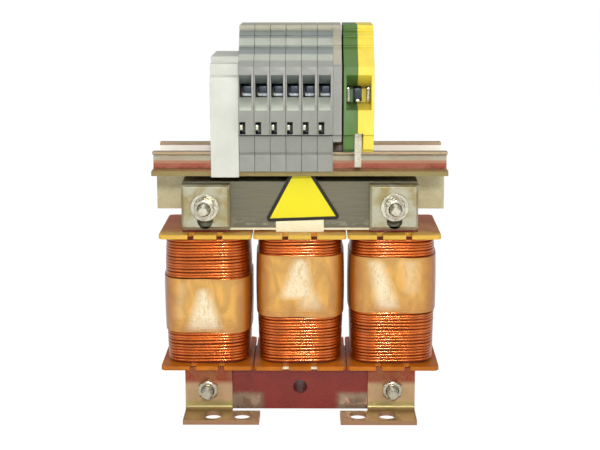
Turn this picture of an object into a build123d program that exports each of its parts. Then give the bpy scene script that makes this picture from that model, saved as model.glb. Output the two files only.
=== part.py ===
from build123d import *
import os
from math import cos, pi, radians, sin, sqrt, tan

# Three-phase line reactor with a row of terminal blocks on a rail above its core.
# Frame: +X to the right, +Y to the back, +Z up, millimetres. The origin lies on the
# floor under the middle of the object. The terminals' marked side faces -Y.

# Laminated core: an E-shaped stack with three legs, closed by a straight upper yoke
leg_width = 20.0
leg_pitch = 40.0
window_height = 60.0
yoke_height = 20.0
stack_depth = 30.0
gap_thickness = 1.0
core_lift = 1.5
core_hole_diameter = 6.0

# Bobbins, one on each leg
bobbin_height = 59.4
bobbin_side_clearance = 0.3
tube_wall = 1.1
flange_width = 39.4
flange_depth = 47.0
flange_thickness = 1.8
flange_corner_radius = 2.2
notch_offset = 6.1
notch_width = 2.6
notch_depth = 6.0

# Windings of enamelled round wire
winding_width = 34.0
winding_depth = 38.0
winding_corner_radius = 6.0
winding_end_clearance = 0.15
corner_steps = 2
turn_count = 41
turn_groove = 0.42

# Tape bands over the windings: lower edge above the lower flange, and width of the band
tape_thickness = 0.45
tape_left = (14.0, 23.6)
tape_centre = (20.9, 26.8)
tape_right = (22.8, 24.3)

# Insulating strip on the front of the centre leg
strip_width = 20.4
strip_thickness = 0.8
strip_clearance = 0.1
strip_drop = 1.8

# Tie bolts through the yokes, with their insulating sleeves
bolt_inset = 10.0
bolt_diameter = 5.0
bolt_head_across = 8.0
bolt_head_height = 3.5
upper_bolt_length = 50.0
lower_bolt_length = 45.0
sleeve_wall = 0.3
sleeve_clearance = 0.1
washer_diameter = 12.0
washer_bore = 5.3
washer_thickness = 1.0
spring_washer_diameter = 9.2
spring_washer_thickness = 1.2
spring_washer_gap = 0.9
nut_across = 8.0
nut_height = 4.0
thread_clearance = 0.02

# Square clamp plates in front of the upper yoke
clamp_width = 20.5
clamp_height = 19.0
clamp_thickness = 6.0
clamp_bevel = 1.0
clamp_slot_width = 6.5
clamp_slot_length = 16.0
clamp_top_drop = 0.5

# Folded feet, two in front of the lower yoke and two behind it
sheet = 2.0
bend_radius = 2.0
foot_upright_width = 20.5
foot_upright_height = 21.0
foot_base_width = 32.6
foot_reach = 17.0
foot_slot_width = 7.2
foot_slot_length = 9.6
foot_slot_outer = 37.5
foot_slot_pitch = 12.5
foot_slot_reach = 9.6
foot_hole_diameter = 5.5

# Rail carrier: one folded sheet, bolted behind the upper yoke and reaching over it. Its top
# leaf is as long as the rail, and its back leaf is wider by an ear at each end.
carrier_gap = 3.4
carrier_ear = 2.0
carrier_front = 22.0
carrier_back_low = 17.3

# Mounting rail of the 35 mm top-hat form
rail_length = 124.4
rail_width = 35.0
rail_hat_width = 27.0
rail_height = 7.5
rail_sheet = 1.0
rail_bend = 0.8
rail_screw_inset = 7.2
rail_screw_diameter = 4.0
rail_screw_head = 8.0
rail_screw_head_height = 2.4
rail_screw_length = 6.0

# Row on the rail, from left to right
row_start = -36.9
row_clearance = 0.1
end_stop_width = 11.7
terminal_count = 6
terminal_pitch = 6.5
cover_width = 3.6
pe_gap = 0.7
pe_green_width = 5.9
pe_yellow_width = 6.7

# Terminal housing, half depths from the rail's middle and rises above the rail
housing_top_half = 12.5
housing_rise = 52.6
marker_steps = ((13.4, 50.4), (15.6, 47.9), (18.4, 43.9))
shoulder_half = 21.8
shoulder_rise = 40.6
entry_half = 28.0
entry_edge_rise = 36.6
entry_low_rise = 8.6
skirt_half = 25.6
step_groove = 0.8

# Foot of a terminal housing, round the edge of the rail
foot_half = 24.6
foot_drop = 7.2
foot_groove_rise = 0.9
hook_half = 15.0
hook_depth = 3.2
rail_fit = 0.15
arch_half = 11.5
arch_rise = 3.0

# Wire funnel, test slot and the pocket of the wire clamp
funnel_width = 4.9
funnel_wall = 0.5
funnel_top_rise = 33.8
funnel_low_rise = 18.8
clamp_mouth_half = 20.0
clamp_mouth_low = 23.4
clamp_mouth_height = 5.6
pocket_length = 7.0
cage_wall = 0.6
cage_clearance = 0.1
test_slot_width = 2.3
test_slot_low = 8.9
test_slot_height = 5.0
test_slot_depth = 6.0
bar_width = 3.0
bar_thickness = 1.2

# Protective-earth terminal: funnel, clamp and the metal foot on the rail
pe_skirt_rise = 2.3
pe_funnel_wall = 1.2
pe_mouth_low = 20.6
pe_mouth_height = 7.6
pe_notch_width = 3.8
pe_notch_height = 6.8
pe_foot_width = 2.8
pe_foot_sheet = 1.4
pe_foot_low = 6.2

# End cover beside the grey terminals
cover_skirt_rise = 5.4

# White end stop
stop_front_half = 22.5
stop_front_rise = 37.4
stop_back_half = 17.0
stop_back_rise = 40.0
stop_waist_rise = 32.0
stop_waist_half = 25.0
stop_foot_half = 24.8
stop_foot_drop = 9.6
stop_plate_clearance = 0.3

# Triangular label plate
label_side = 33.0
label_thickness = 0.5
label_rise = 3.2
label_corner = 1.5
label_turn = 2.0
label_top_clearance = 0.5

# Levels and places that follow from the sizes above
core_half_width = leg_pitch + leg_width / 2
bolt_x = core_half_width - bolt_inset
core_front = -stack_depth / 2
core_back = stack_depth / 2
window_floor = core_lift + yoke_height
leg_top = window_floor + window_height
upper_yoke_floor = leg_top + gap_thickness
upper_yoke_top = upper_yoke_floor + yoke_height
lower_bolt_height = core_lift + yoke_height / 2
upper_bolt_height = upper_yoke_floor + yoke_height / 2
flange_top = window_floor + flange_thickness
turn_pitch = (bobbin_height - 2 * flange_thickness - 2 * winding_end_clearance) / turn_count
tube_half_width = leg_width / 2 + bobbin_side_clearance + tube_wall
strip_pocket = strip_thickness + strip_clearance
tube_front = core_front - strip_pocket - tube_wall
tube_back = core_back + strip_pocket + tube_wall
carrier_floor = upper_yoke_top + carrier_gap
carrier_top = carrier_floor + sheet
rail_floor = carrier_top
rail_top = rail_floor + rail_height
rail_screw_x = rail_length / 2 - rail_screw_inset
row_terminals = row_start + end_stop_width + row_clearance
row_cover = row_terminals + terminal_count * terminal_pitch - row_clearance
row_pe = row_cover + cover_width + pe_gap


def block(x_range, y_range, z_range):
    """A box between two limits on each axis."""
    ranges = (x_range, y_range, z_range)
    size = [high - low for low, high in ranges]
    middle = [(high + low) / 2 for low, high in ranges]
    return Pos(*middle) * Box(*size)


def rod_y(x, z, diameter, y_range):
    """A round bar along Y."""
    bar = Rot(90, 0, 0) * Cylinder(diameter / 2, y_range[1] - y_range[0])
    return Pos(x, (y_range[0] + y_range[1]) / 2, z) * bar


def hexagon_y(x, z, across, y_range):
    """A hexagonal bar along Y, measured across its flats."""
    outline = RegularPolygon(across / 2, 6, major_radius=False)
    bar = extrude(Plane.XZ * outline, amount=(y_range[1] - y_range[0]) / 2, both=True)
    return Pos(x, (y_range[0] + y_range[1]) / 2, z) * bar


def side_prism(outline, x_range):
    """A prism along X whose outline is given as points in Y and Z."""
    face = Plane.YZ.offset(x_range[0]) * make_face(Polyline(*outline, close=True))
    return extrude(face, amount=x_range[1] - x_range[0], dir=(1, 0, 0))


def slot_z(x, y, width, length, z_range):
    """A slot cutter along Z whose long way is Y."""
    outline = Pos(x, y, z_range[0]) * Rot(0, 0, 90) * SlotOverall(length, width)
    return extrude(outline, amount=z_range[1] - z_range[0], dir=(0, 0, 1))


def slot_y(x, z, width, length, y_range):
    """A slot cutter along Y whose long way is Z."""
    outline = Rot(0, 0, 90) * SlotOverall(length, width)
    cutter = extrude(Plane.XZ * outline, amount=(y_range[1] - y_range[0]) / 2, both=True)
    return Pos(x, (y_range[0] + y_range[1]) / 2, z) * cutter


def mirrored(outline):
    """An outline given for the front half, carried on over the back half."""
    return list(outline) + [(-y, z) for y, z in reversed(outline)]


# Core

def core_e_stack():
    """Lower yoke and three legs, punched as one E-shaped lamination and stacked."""
    y_range = (core_front, core_back)
    stack = block((-core_half_width, core_half_width), y_range, (core_lift, window_floor))
    for leg in (-1, 0, 1):
        middle = leg * leg_pitch
        x_range = (middle - leg_width / 2, middle + leg_width / 2)
        stack += block(x_range, y_range, (window_floor, leg_top))
    for x in (-bolt_x, 0, bolt_x):
        stack -= rod_y(x, lower_bolt_height, core_hole_diameter, (core_front - 1, core_back + 1))
    return stack


def upper_yoke():
    """Straight lamination stack that closes the core above the air gap."""
    x_range = (-core_half_width, core_half_width)
    yoke = block(x_range, (core_front, core_back), (upper_yoke_floor, upper_yoke_top))
    for x in (-bolt_x, 0, bolt_x):
        yoke -= rod_y(x, upper_bolt_height, core_hole_diameter, (core_front - 1, core_back + 1))
    return yoke


def air_gap_sheet():
    """Spacer sheet that sets the air gap between the legs and the upper yoke."""
    x_range = (-core_half_width, core_half_width)
    return block(x_range, (core_front, core_back), (leg_top, upper_yoke_floor))


def centre_leg_strip():
    """Insulating strip between the centre leg and its bobbin, up to the label's lower edge."""
    y_range = (core_front - strip_thickness, core_front)
    z_range = (window_floor - strip_drop, upper_yoke_floor + label_rise + label_corner)
    strip = block((-strip_width / 2, strip_width / 2), y_range, z_range)
    return strip - label_prism(strip_thickness + 1)


# Coils

def bobbin(x):
    """Bobbin moulded in one piece: a square tube with a notched flange at each end."""
    top = window_floor + bobbin_height
    flange = extrude(RectangleRounded(flange_width, flange_depth, flange_corner_radius),
                     amount=flange_thickness)
    half_tube = tube_half_width
    body = Pos(x, 0, window_floor) * flange
    body += Pos(x, 0, top - flange_thickness) * flange
    body += block((x - half_tube, x + half_tube), (tube_front, tube_back), (window_floor, top))
    bore = half_tube - tube_wall
    body -= block((x - bore, x + bore), (tube_front + tube_wall, tube_back - tube_wall),
                  (window_floor - 1, top + 1))
    for side in (-1, 1):
        for way in (-1, 1):
            middle = x + side * notch_offset
            edge = way * flange_depth / 2
            low, high = sorted((edge - way * notch_depth, edge + way))
            body -= block((middle - notch_width / 2, middle + notch_width / 2), (low, high),
                          (window_floor - 1, top + 1))
    return body


def coil_outline(x, z, inset):
    """Closed polygon of a winding's outside: a rectangle with stepped round corners."""
    radius = winding_corner_radius - inset
    centre_x = winding_width / 2 - winding_corner_radius
    centre_y = winding_depth / 2 - winding_corner_radius
    points = []
    for quarter, (side, way) in enumerate(((1, 1), (-1, 1), (-1, -1), (1, -1))):
        for step in range(corner_steps + 1):
            angle = pi / 2 * (quarter + step / corner_steps)
            points.append((x + side * centre_x + radius * cos(angle),
                           way * centre_y + radius * sin(angle), z))
    return Wire.make_polygon(points, close=True)


def winding(x, tape):
    """One winding: a stack of turns, ridged wherever the tape leaves them in view."""
    floor = flange_top + winding_end_clearance
    tape_low = flange_top + tape[0]
    tape_high = tape_low + tape[1]
    sections = [coil_outline(x, floor, turn_groove)]
    for turn in range(turn_count):
        low = floor + turn * turn_pitch
        high = low + turn_pitch
        if tape_low <= low and high <= tape_high:
            continue
        if sections[-1].center().Z < low - turn_pitch / 2:
            sections.append(coil_outline(x, low - turn_pitch / 4, 0))
            sections.append(coil_outline(x, low, turn_groove))
        sections.append(coil_outline(x, low + turn_pitch / 4, 0))
        sections.append(coil_outline(x, high - turn_pitch / 4, 0))
        sections.append(coil_outline(x, high, turn_groove))
    body = Solid.make_loft(sections, ruled=True)
    tube = block((x - tube_half_width, x + tube_half_width), (tube_front, tube_back),
                 (floor - 1, floor + turn_count * turn_pitch + 1))
    return body - tube


def coil_tape(x, tape):
    """A band of tape round the middle of a winding."""
    low = flange_top + tape[0]
    band = extrude(Face(coil_outline(x, low, -tape_thickness)), amount=tape[1], dir=(0, 0, 1))
    return band - extrude(Face(coil_outline(x, low, 0)), amount=tape[1], dir=(0, 0, 1))


# Sheet-metal parts

def angle_sheet(back, floor, height, reach, x_range):
    """A sheet folded to an L: it stands on the plane y = back and reaches towards -Y."""
    outer = bend_radius + sheet
    with BuildSketch(Plane.YZ.offset(x_range[0])) as section:
        with BuildLine():
            Polyline((back, floor + height), (back, floor + outer))
            RadiusArc((back, floor + outer), (back - outer, floor), outer)
            Polyline((back - outer, floor), (back - reach, floor), (back - reach, floor + sheet),
                     (back - outer, floor + sheet))
            RadiusArc((back - outer, floor + sheet), (back - sheet, floor + outer), -bend_radius)
            Polyline((back - sheet, floor + outer), (back - sheet, floor + height),
                     (back, floor + height))
        make_face()
    return extrude(section.sketch, amount=x_range[1] - x_range[0], dir=(1, 0, 0))


def foot(side, way):
    """A foot: an upright leaf on the yoke, and a wider base leaf with two slots."""
    outer_edge = core_half_width
    upright = angle_sheet(core_front, 0, foot_upright_height, foot_reach,
                          (outer_edge - foot_upright_width, outer_edge))
    lip = block((outer_edge - foot_base_width, outer_edge - foot_upright_width),
                (core_front - foot_reach, core_front - sheet - bend_radius), (0, sheet))
    body = upright + lip
    for number in range(2):
        x = foot_slot_outer - number * foot_slot_pitch
        body -= slot_z(x, core_front - foot_slot_reach, foot_slot_width, foot_slot_length,
                       (-1, sheet + 1))
    body -= rod_y(bolt_x, lower_bolt_height, foot_hole_diameter,
                  (core_front - sheet - 1, core_front + 1))
    if side < 0:
        body = body.mirror(Plane.YZ)
    if way > 0:
        body = body.mirror(Plane.XZ)
    return body


def clamp_plate(side):
    """Square plate with bevelled edges and an upright slot, in front of the upper yoke."""
    front = core_front - clamp_thickness
    top = upper_yoke_top - clamp_top_drop
    outer = core_half_width
    plate = block((outer - clamp_width, outer), (front, core_front), (top - clamp_height, top))
    plate = chamfer(plate.faces().sort_by(Axis.Y)[0].edges(), clamp_bevel)
    plate -= slot_y(bolt_x, upper_bolt_height, clamp_slot_width, clamp_slot_length,
                    (front - 1, core_front + 1))
    return plate if side > 0 else plate.mirror(Plane.YZ)


def rail_carrier():
    """Folded sheet behind the core whose top leaf reaches forward under the rail."""
    back = core_back + sheet
    outer = bend_radius + sheet
    half = rail_length / 2
    leaf_low = upper_yoke_top - carrier_back_low
    with BuildSketch(Plane.YZ.offset(-half)) as section:
        with BuildLine():
            Polyline((core_back, carrier_top - outer), (core_back, leaf_low), (back, leaf_low),
                     (back, carrier_top - outer))
            RadiusArc((back, carrier_top - outer), (back - outer, carrier_top), -outer)
            Polyline((back - outer, carrier_top), (-carrier_front, carrier_top),
                     (-carrier_front, carrier_floor), (back - outer, carrier_floor))
            RadiusArc((back - outer, carrier_floor), (core_back, carrier_top - outer), bend_radius)
        make_face()
    body = extrude(section.sketch, amount=rail_length, dir=(1, 0, 0))
    for side in (-1, 1):
        x_range = sorted((side * half, side * (half + carrier_ear)))
        body += block(x_range, (core_back, back), (leaf_low, carrier_top - outer))
        body -= rod_y(side * bolt_x, upper_bolt_height, foot_hole_diameter,
                      (core_back - 1, back + 1))
        body -= Pos(side * rail_screw_x, 0, carrier_floor) * Cylinder(
            rail_screw_diameter / 2 + thread_clearance, 3 * sheet)
    return body


def mounting_rail():
    """Top-hat rail: a channel with a lip along each side."""
    lip = rail_width / 2
    wall = rail_hat_width / 2
    inner = wall - rail_sheet
    front = [(-lip, rail_top), (-lip, rail_top - rail_sheet), (-wall, rail_top - rail_sheet),
             (-wall, rail_floor), (0, rail_floor)]
    inside = [(0, rail_floor + rail_sheet), (-inner, rail_floor + rail_sheet), (-inner, rail_top)]
    half = side_prism(front + inside, (-rail_length / 2, rail_length / 2))
    rail = half + half.mirror(Plane.XZ)
    long_edges = rail.edges().filter_by(Axis.X)
    inner_bends = [edge for edge in long_edges
                   if abs(abs(edge.center().Y) - inner) < 0.01
                   and abs(edge.center().Z - rail_floor - rail_sheet) < 0.01]
    rail = fillet(inner_bends, rail_bend)
    for side in (-1, 1):
        rail -= Pos(side * rail_screw_x, 0, rail_floor) * Cylinder(
            rail_screw_diameter / 2 + 0.2, 4 * rail_sheet)
    return rail


# Fasteners

def bolt_rows():
    """Each tie bolt's place: side, height, seat of the head at the back, and length."""
    rows = []
    for side in (-1, 1):
        x = side * bolt_x
        seat = core_back + sheet + washer_thickness
        rows.append((x, upper_bolt_height, seat, upper_bolt_length, clamp_thickness))
        rows.append((x, lower_bolt_height, seat, lower_bolt_length, sheet))
    return rows


def tie_bolts():
    """Hexagon bolts with their heads at the back."""
    bolts = []
    for x, z, seat, length, _ in bolt_rows():
        shank = rod_y(x, z, bolt_diameter, (seat - length, seat + bolt_head_height / 2))
        shank = chamfer(shank.edges().sort_by(Axis.Y)[0], bolt_diameter / 10)
        bolts.append(shank + hexagon_y(x, z, bolt_head_across, (seat, seat + bolt_head_height)))
    return bolts


def bolt_sleeves():
    """Insulating tubes round the bolts inside the yokes."""
    inner = bolt_diameter + 2 * sleeve_clearance
    sleeves = []
    for x, z, _, _, _ in bolt_rows():
        y_range = (core_front, core_back)
        tube = rod_y(x, z, inner + 2 * sleeve_wall, y_range)
        sleeves.append(tube - rod_y(x, z, inner, y_range))
    return sleeves


def flat_washers():
    """A washer under each bolt head and on the front of each bolt."""
    washers = []
    for x, z, seat, _, clamped in bolt_rows():
        for back in (seat, core_front - clamped):
            y_range = (back - washer_thickness, back)
            washers.append(rod_y(x, z, washer_diameter, y_range) - rod_y(x, z, washer_bore, y_range))
    return washers


def spring_washers():
    """Split washers under the nuts of the upper bolts."""
    washers = []
    for x, z, _, _, clamped in bolt_rows():
        if clamped != clamp_thickness:
            continue
        back = core_front - clamped - washer_thickness
        y_range = (back - spring_washer_thickness, back)
        ring = rod_y(x, z, spring_washer_diameter, y_range) - rod_y(x, z, washer_bore, y_range)
        split = block((x - spring_washer_gap / 2, x + spring_washer_gap / 2), y_range,
                      (z, z + spring_washer_diameter))
        washers.append(ring - split)
    return washers


def hex_nuts():
    """Nuts on the front ends of the tie bolts."""
    nuts = []
    for x, z, _, _, clamped in bolt_rows():
        back = core_front - clamped - washer_thickness
        if clamped == clamp_thickness:
            back -= spring_washer_thickness
        y_range = (back - nut_height, back)
        nut = hexagon_y(x, z, nut_across, y_range)
        cone = Pos(x, back - nut_height / 2, z) * Rot(90, 0, 0) * chamfer(
            Cylinder(nut_across / sqrt(3), nut_height).edges().filter_by(GeomType.CIRCLE), nut_height / 8)
        nuts.append((nut & cone) - rod_y(x, z, bolt_diameter + 2 * thread_clearance, y_range))
    return nuts


def rail_screws():
    """Screws that hold the rail to its carrier."""
    screws = []
    for side in (-1, 1):
        head_floor = rail_floor + rail_sheet
        head = Pos(0, 0, rail_screw_head_height / 2) * Cylinder(
            rail_screw_head / 2, rail_screw_head_height)
        head = chamfer(head.edges().sort_by(Axis.Z)[-1], rail_screw_head_height / 4)
        head -= block((-rail_screw_head, rail_screw_head), (-0.5, 0.5),
                      (rail_screw_head_height / 2, rail_screw_head_height + 1))
        shank = Pos(0, 0, -rail_screw_length / 2) * Cylinder(rail_screw_diameter / 2, rail_screw_length)
        screws.append(Pos(side * rail_screw_x, 0, head_floor) * (head + shank))
    return screws


# Row of terminals on the rail

def housing_front(lowest_half, lowest_rise):
    """Front outline of a housing from its top down to the skirt, stepped for markers."""
    outline = [(-housing_top_half, rail_top + housing_rise)]
    for half, rise in marker_steps:
        z = rail_top + rise
        outline.append((-half, z + step_groove))
        outline.append((-half + step_groove, z + step_groove))
        outline.append((-half + step_groove, z))
    outline.append((-shoulder_half, rail_top + shoulder_rise))
    outline.append((-entry_half, rail_top + entry_edge_rise))
    outline.append((-entry_half, rail_top + entry_low_rise))
    outline.append((-skirt_half, rail_top + entry_low_rise - step_groove))
    outline.append((-lowest_half, rail_top + lowest_rise))
    return outline


def rail_hook(half, drop):
    """Outline of the foot that grips the rail's edge, from its outer face inwards."""
    lip = rail_width / 2 + rail_fit
    under = rail_top - rail_sheet - rail_fit
    return [(-half, rail_top - drop), (-lip - 1, rail_top - drop), (-lip, under - hook_depth),
            (-hook_half, under - hook_depth / 2), (-hook_half, under), (-lip, under),
            (-lip, rail_top)]


def arch():
    """Outline of the hollow between the housing and the rail's channel."""
    return [(-arch_half, rail_top), (-arch_half, rail_top + arch_rise)]


def funnel(x_range, mouth_low, mouth_height, way):
    """Wedge-shaped wire funnel that narrows to the mouth of the clamp behind it."""
    outline = [(-entry_half - 1, rail_top + funnel_top_rise),
               (-clamp_mouth_half, rail_top + mouth_low + mouth_height),
               (-clamp_mouth_half, rail_top + mouth_low),
               (-entry_half, rail_top + funnel_low_rise),
               (-entry_half - 1, rail_top + funnel_low_rise)]
    return side_prism([(-way * y, z) for y, z in outline], x_range)


def pocket(x_range, low, height, way):
    """Pocket behind a funnel for the wire clamp."""
    y_range = sorted((way * clamp_mouth_half, way * (clamp_mouth_half - pocket_length)))
    return block(x_range, y_range, (rail_top + low, rail_top + low + height))


def bar_channel(middle, low, clearance):
    """Space of the current bar that runs from the front clamp to the back one."""
    half = bar_width / 2 + clearance
    reach = clamp_mouth_half - cage_wall
    floor = rail_top + low + cage_wall
    return block((middle - half, middle + half), (-reach, reach),
                 (floor - clearance, floor + bar_thickness + clearance))


def terminal_ranges(number):
    """Width of one terminal and of its funnel along X."""
    left = row_terminals + number * terminal_pitch
    body = (left, left + terminal_pitch - row_clearance)
    return body, (left + funnel_wall, left + funnel_wall + funnel_width)


def terminal_housing(number):
    """Grey moulded housing with two wire funnels, two test slots and a foot on each side."""
    x_range, funnel_range = terminal_ranges(number)
    front = housing_front(foot_half, foot_groove_rise)
    groove = [(-foot_half + step_groove, rail_top + foot_groove_rise),
              (-foot_half + step_groove, rail_top),
              (-foot_half, rail_top)]
    body = side_prism(mirrored(front + groove + rail_hook(foot_half, foot_drop) + arch()), x_range)
    slot_range = (funnel_range[0], funnel_range[0] + test_slot_width)
    slot_z_range = (rail_top + test_slot_low, rail_top + test_slot_low + test_slot_height)
    for way in (-1, 1):
        body -= funnel(funnel_range, clamp_mouth_low, clamp_mouth_height, way)
        body -= pocket(funnel_range, clamp_mouth_low, clamp_mouth_height, way)
        y_range = sorted((way * (entry_half + 1), way * (entry_half - test_slot_depth)))
        body -= block(slot_range, y_range, slot_z_range)
    middle = (funnel_range[0] + funnel_range[1]) / 2
    return body - bar_channel(middle, clamp_mouth_low, cage_clearance)


def cage(x_range, low, height, way):
    """Folded clamp frame, open towards the funnel."""
    near, far = clamp_mouth_half, clamp_mouth_half - pocket_length + cage_clearance
    y_range = sorted((way * near, way * far))
    floor = rail_top + low
    top = rail_top + low + height - cage_clearance
    outer = block((x_range[0] + cage_clearance, x_range[1] - cage_clearance), y_range, (floor, top))
    wall = cage_clearance + cage_wall
    hole = block((x_range[0] + wall, x_range[1] - wall), (y_range[0] - 1, y_range[1] + 1),
                 (floor + cage_wall, top - cage_wall))
    return outer - hole


def terminal_clamps():
    """Wire clamps of the grey terminals, one behind each funnel."""
    frames = []
    for number in range(terminal_count):
        _, funnel_range = terminal_ranges(number)
        for way in (-1, 1):
            frames.append(cage(funnel_range, clamp_mouth_low, clamp_mouth_height, way))
    return frames


def current_bars():
    """Current bars of the grey terminals, lying on the floor of the clamps."""
    bars = []
    for number in range(terminal_count):
        _, funnel_range = terminal_ranges(number)
        bars.append(bar_channel((funnel_range[0] + funnel_range[1]) / 2, clamp_mouth_low, 0))
    return bars


def end_cover():
    """Flat cover that closes the open side of the last grey terminal."""
    outline = housing_front(skirt_half, cover_skirt_rise)
    return side_prism(mirrored(outline), (row_cover, row_cover + cover_width))


def pe_body(x_range):
    """Blank of one half of the earth terminal, seated on the rail's lips."""
    lip = rail_width / 2 + 1
    front = housing_front(skirt_half, pe_skirt_rise)
    seat = [(-lip, rail_top + pe_skirt_rise), (-lip, rail_top)]
    return side_prism(mirrored(front + seat + arch()), x_range)


def pe_ranges():
    """Widths of the green half, the yellow half, their common funnel and notch."""
    green = (row_pe, row_pe + pe_green_width)
    yellow = (green[1], green[1] + pe_yellow_width)
    common = (green[0] + pe_funnel_wall, yellow[1] - pe_funnel_wall)
    middle = (green[0] + yellow[1]) / 2
    notch = (middle - pe_notch_width / 2, middle + pe_notch_width / 2)
    return green, yellow, common, notch


def pe_housing(half):
    """Green or yellow half of the earth terminal's housing."""
    _, _, common, notch = pe_ranges()
    body = pe_body(half)
    for way in (-1, 1):
        body -= funnel(common, pe_mouth_low, pe_mouth_height, way)
        body -= pocket(common, pe_mouth_low, pe_mouth_height, way)
        y_range = sorted((way * (entry_half + 1), way * (rail_width / 2)))
        body -= block(notch, y_range, (rail_top - 1, rail_top + pe_skirt_rise + pe_notch_height))
    middle = (notch[0] + notch[1]) / 2
    return body - bar_channel(middle, pe_mouth_low, cage_clearance)


def pe_clamps():
    """Wide wire clamps of the earth terminal, and the bar between them."""
    _, _, common, notch = pe_ranges()
    frames = [cage(common, pe_mouth_low, pe_mouth_height, way) for way in (-1, 1)]
    bar = bar_channel((notch[0] + notch[1]) / 2, pe_mouth_low, 0)
    return frames + [bar]


def pe_rail_feet():
    """Metal hooks that tie the earth terminal to the rail's edges, one on each side."""
    _, _, _, notch = pe_ranges()
    middle = (notch[0] + notch[1]) / 2
    lip = rail_width / 2
    outer = lip + pe_foot_sheet
    under = rail_top - rail_sheet - rail_fit
    top = rail_top + pe_skirt_rise + pe_notch_height - cage_clearance
    outline = [(-outer, top), (-outer, rail_top - pe_foot_low), (-lip, rail_top - pe_foot_low),
               (-lip, under - pe_foot_sheet), (-hook_half, under - pe_foot_sheet / 2),
               (-hook_half, under), (-lip, under), (-lip, top)]
    x_range = (middle - pe_foot_width / 2, middle + pe_foot_width / 2)
    front = side_prism(outline, x_range)
    return [front, front.mirror(Plane.XZ)]


def end_stop():
    """White end stop, clipped to the rail and reaching down before the carrier's edge."""
    plate = carrier_front + stop_plate_clearance
    lip = rail_width / 2 + rail_fit
    under = rail_top - rail_sheet - rail_fit
    front = [(-stop_back_half, rail_top + stop_back_rise),
             (-stop_back_half, rail_top + stop_front_rise),
             (-stop_front_half, rail_top + stop_front_rise),
             (-stop_front_half, rail_top + stop_waist_rise + step_groove),
             (-stop_waist_half, rail_top + stop_waist_rise),
             (-stop_waist_half - step_groove, rail_top + stop_waist_rise / 2),
             (-stop_foot_half, rail_top - rail_sheet),
             (-stop_foot_half, rail_top - stop_foot_drop),
             (-plate, rail_top - stop_foot_drop),
             (-plate, carrier_top + stop_plate_clearance),
             (-lip, under - hook_depth),
             (-hook_half, under - hook_depth / 2), (-hook_half, under), (-lip, under),
             (-lip, rail_top)]
    x_range = (row_start, row_start + end_stop_width)
    return side_prism(mirrored(front + arch()), x_range)


# Label

def label_prism(thickness):
    """Prism with the label's outline, standing on the front face of the upper yoke."""
    height = label_side * sqrt(3) / 2
    triangle = make_face(Polyline((-label_side / 2, 0), (label_side / 2, 0), (0, height), close=True))
    triangle = fillet(triangle.vertices(), label_corner)
    place = Pos(0, upper_yoke_floor + label_rise) * Rot(0, 0, label_turn)
    return extrude(Plane.XZ.offset(-core_front) * place * triangle, amount=thickness, dir=(0, -1, 0))


def label_plate():
    """Triangular plate on the upper yoke, its top corner cut off under the carrier."""
    limit = carrier_floor - label_top_clearance
    cut = block((-label_side, label_side), (core_front - 2 * label_thickness, core_front + 1),
                (limit, limit + label_side))
    return label_prism(label_thickness) - cut


def save(name, shape):
    """Writes one node, a single solid or a group of separate solids."""
    if isinstance(shape, (list, tuple)):
        shape = Compound(children=list(shape))
    export_step(shape, f"parts/{name}.step")


os.makedirs("parts", exist_ok=True)

save("core_e_stack", core_e_stack())
save("upper_yoke", upper_yoke())
save("air_gap_sheet", air_gap_sheet())
save("centre_leg_strip", centre_leg_strip())

coils = (("left", -leg_pitch, tape_left), ("centre", 0, tape_centre), ("right", leg_pitch, tape_right))
for place, coil_x, tape_band in coils:
    save(f"bobbin_{place}", bobbin(coil_x))
    save(f"winding_{place}", winding(coil_x, tape_band))
    save(f"coil_tape_{place}", coil_tape(coil_x, tape_band))

for place, foot_way in (("front", -1), ("back", 1)):
    save(f"foot_{place}_left", foot(-1, foot_way))
    save(f"foot_{place}_right", foot(1, foot_way))

save("clamp_plate_left", clamp_plate(-1))
save("clamp_plate_right", clamp_plate(1))
save("rail_carrier", rail_carrier())
save("mounting_rail", mounting_rail())

save("tie_bolts", tie_bolts())
save("bolt_sleeves", bolt_sleeves())
save("flat_washers", flat_washers())
save("spring_washers", spring_washers())
save("hex_nuts", hex_nuts())
save("rail_screws", rail_screws())

save("end_stop", end_stop())
for terminal in range(terminal_count):
    save(f"terminal_housing_{terminal + 1}", terminal_housing(terminal))
save("terminal_clamps", terminal_clamps())
save("current_bars", current_bars())
save("end_cover", end_cover())

green_half, yellow_half, _, _ = pe_ranges()
save("pe_housing_green", pe_housing(green_half))
save("pe_housing_yellow", pe_housing(yellow_half))
save("pe_clamps", pe_clamps())
save("pe_rail_feet", pe_rail_feet())

save("label_plate", label_plate())
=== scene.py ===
from math import pi, radians

import bmesh
import bpy
import numpy as np
from mathutils import Matrix, Vector


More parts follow.
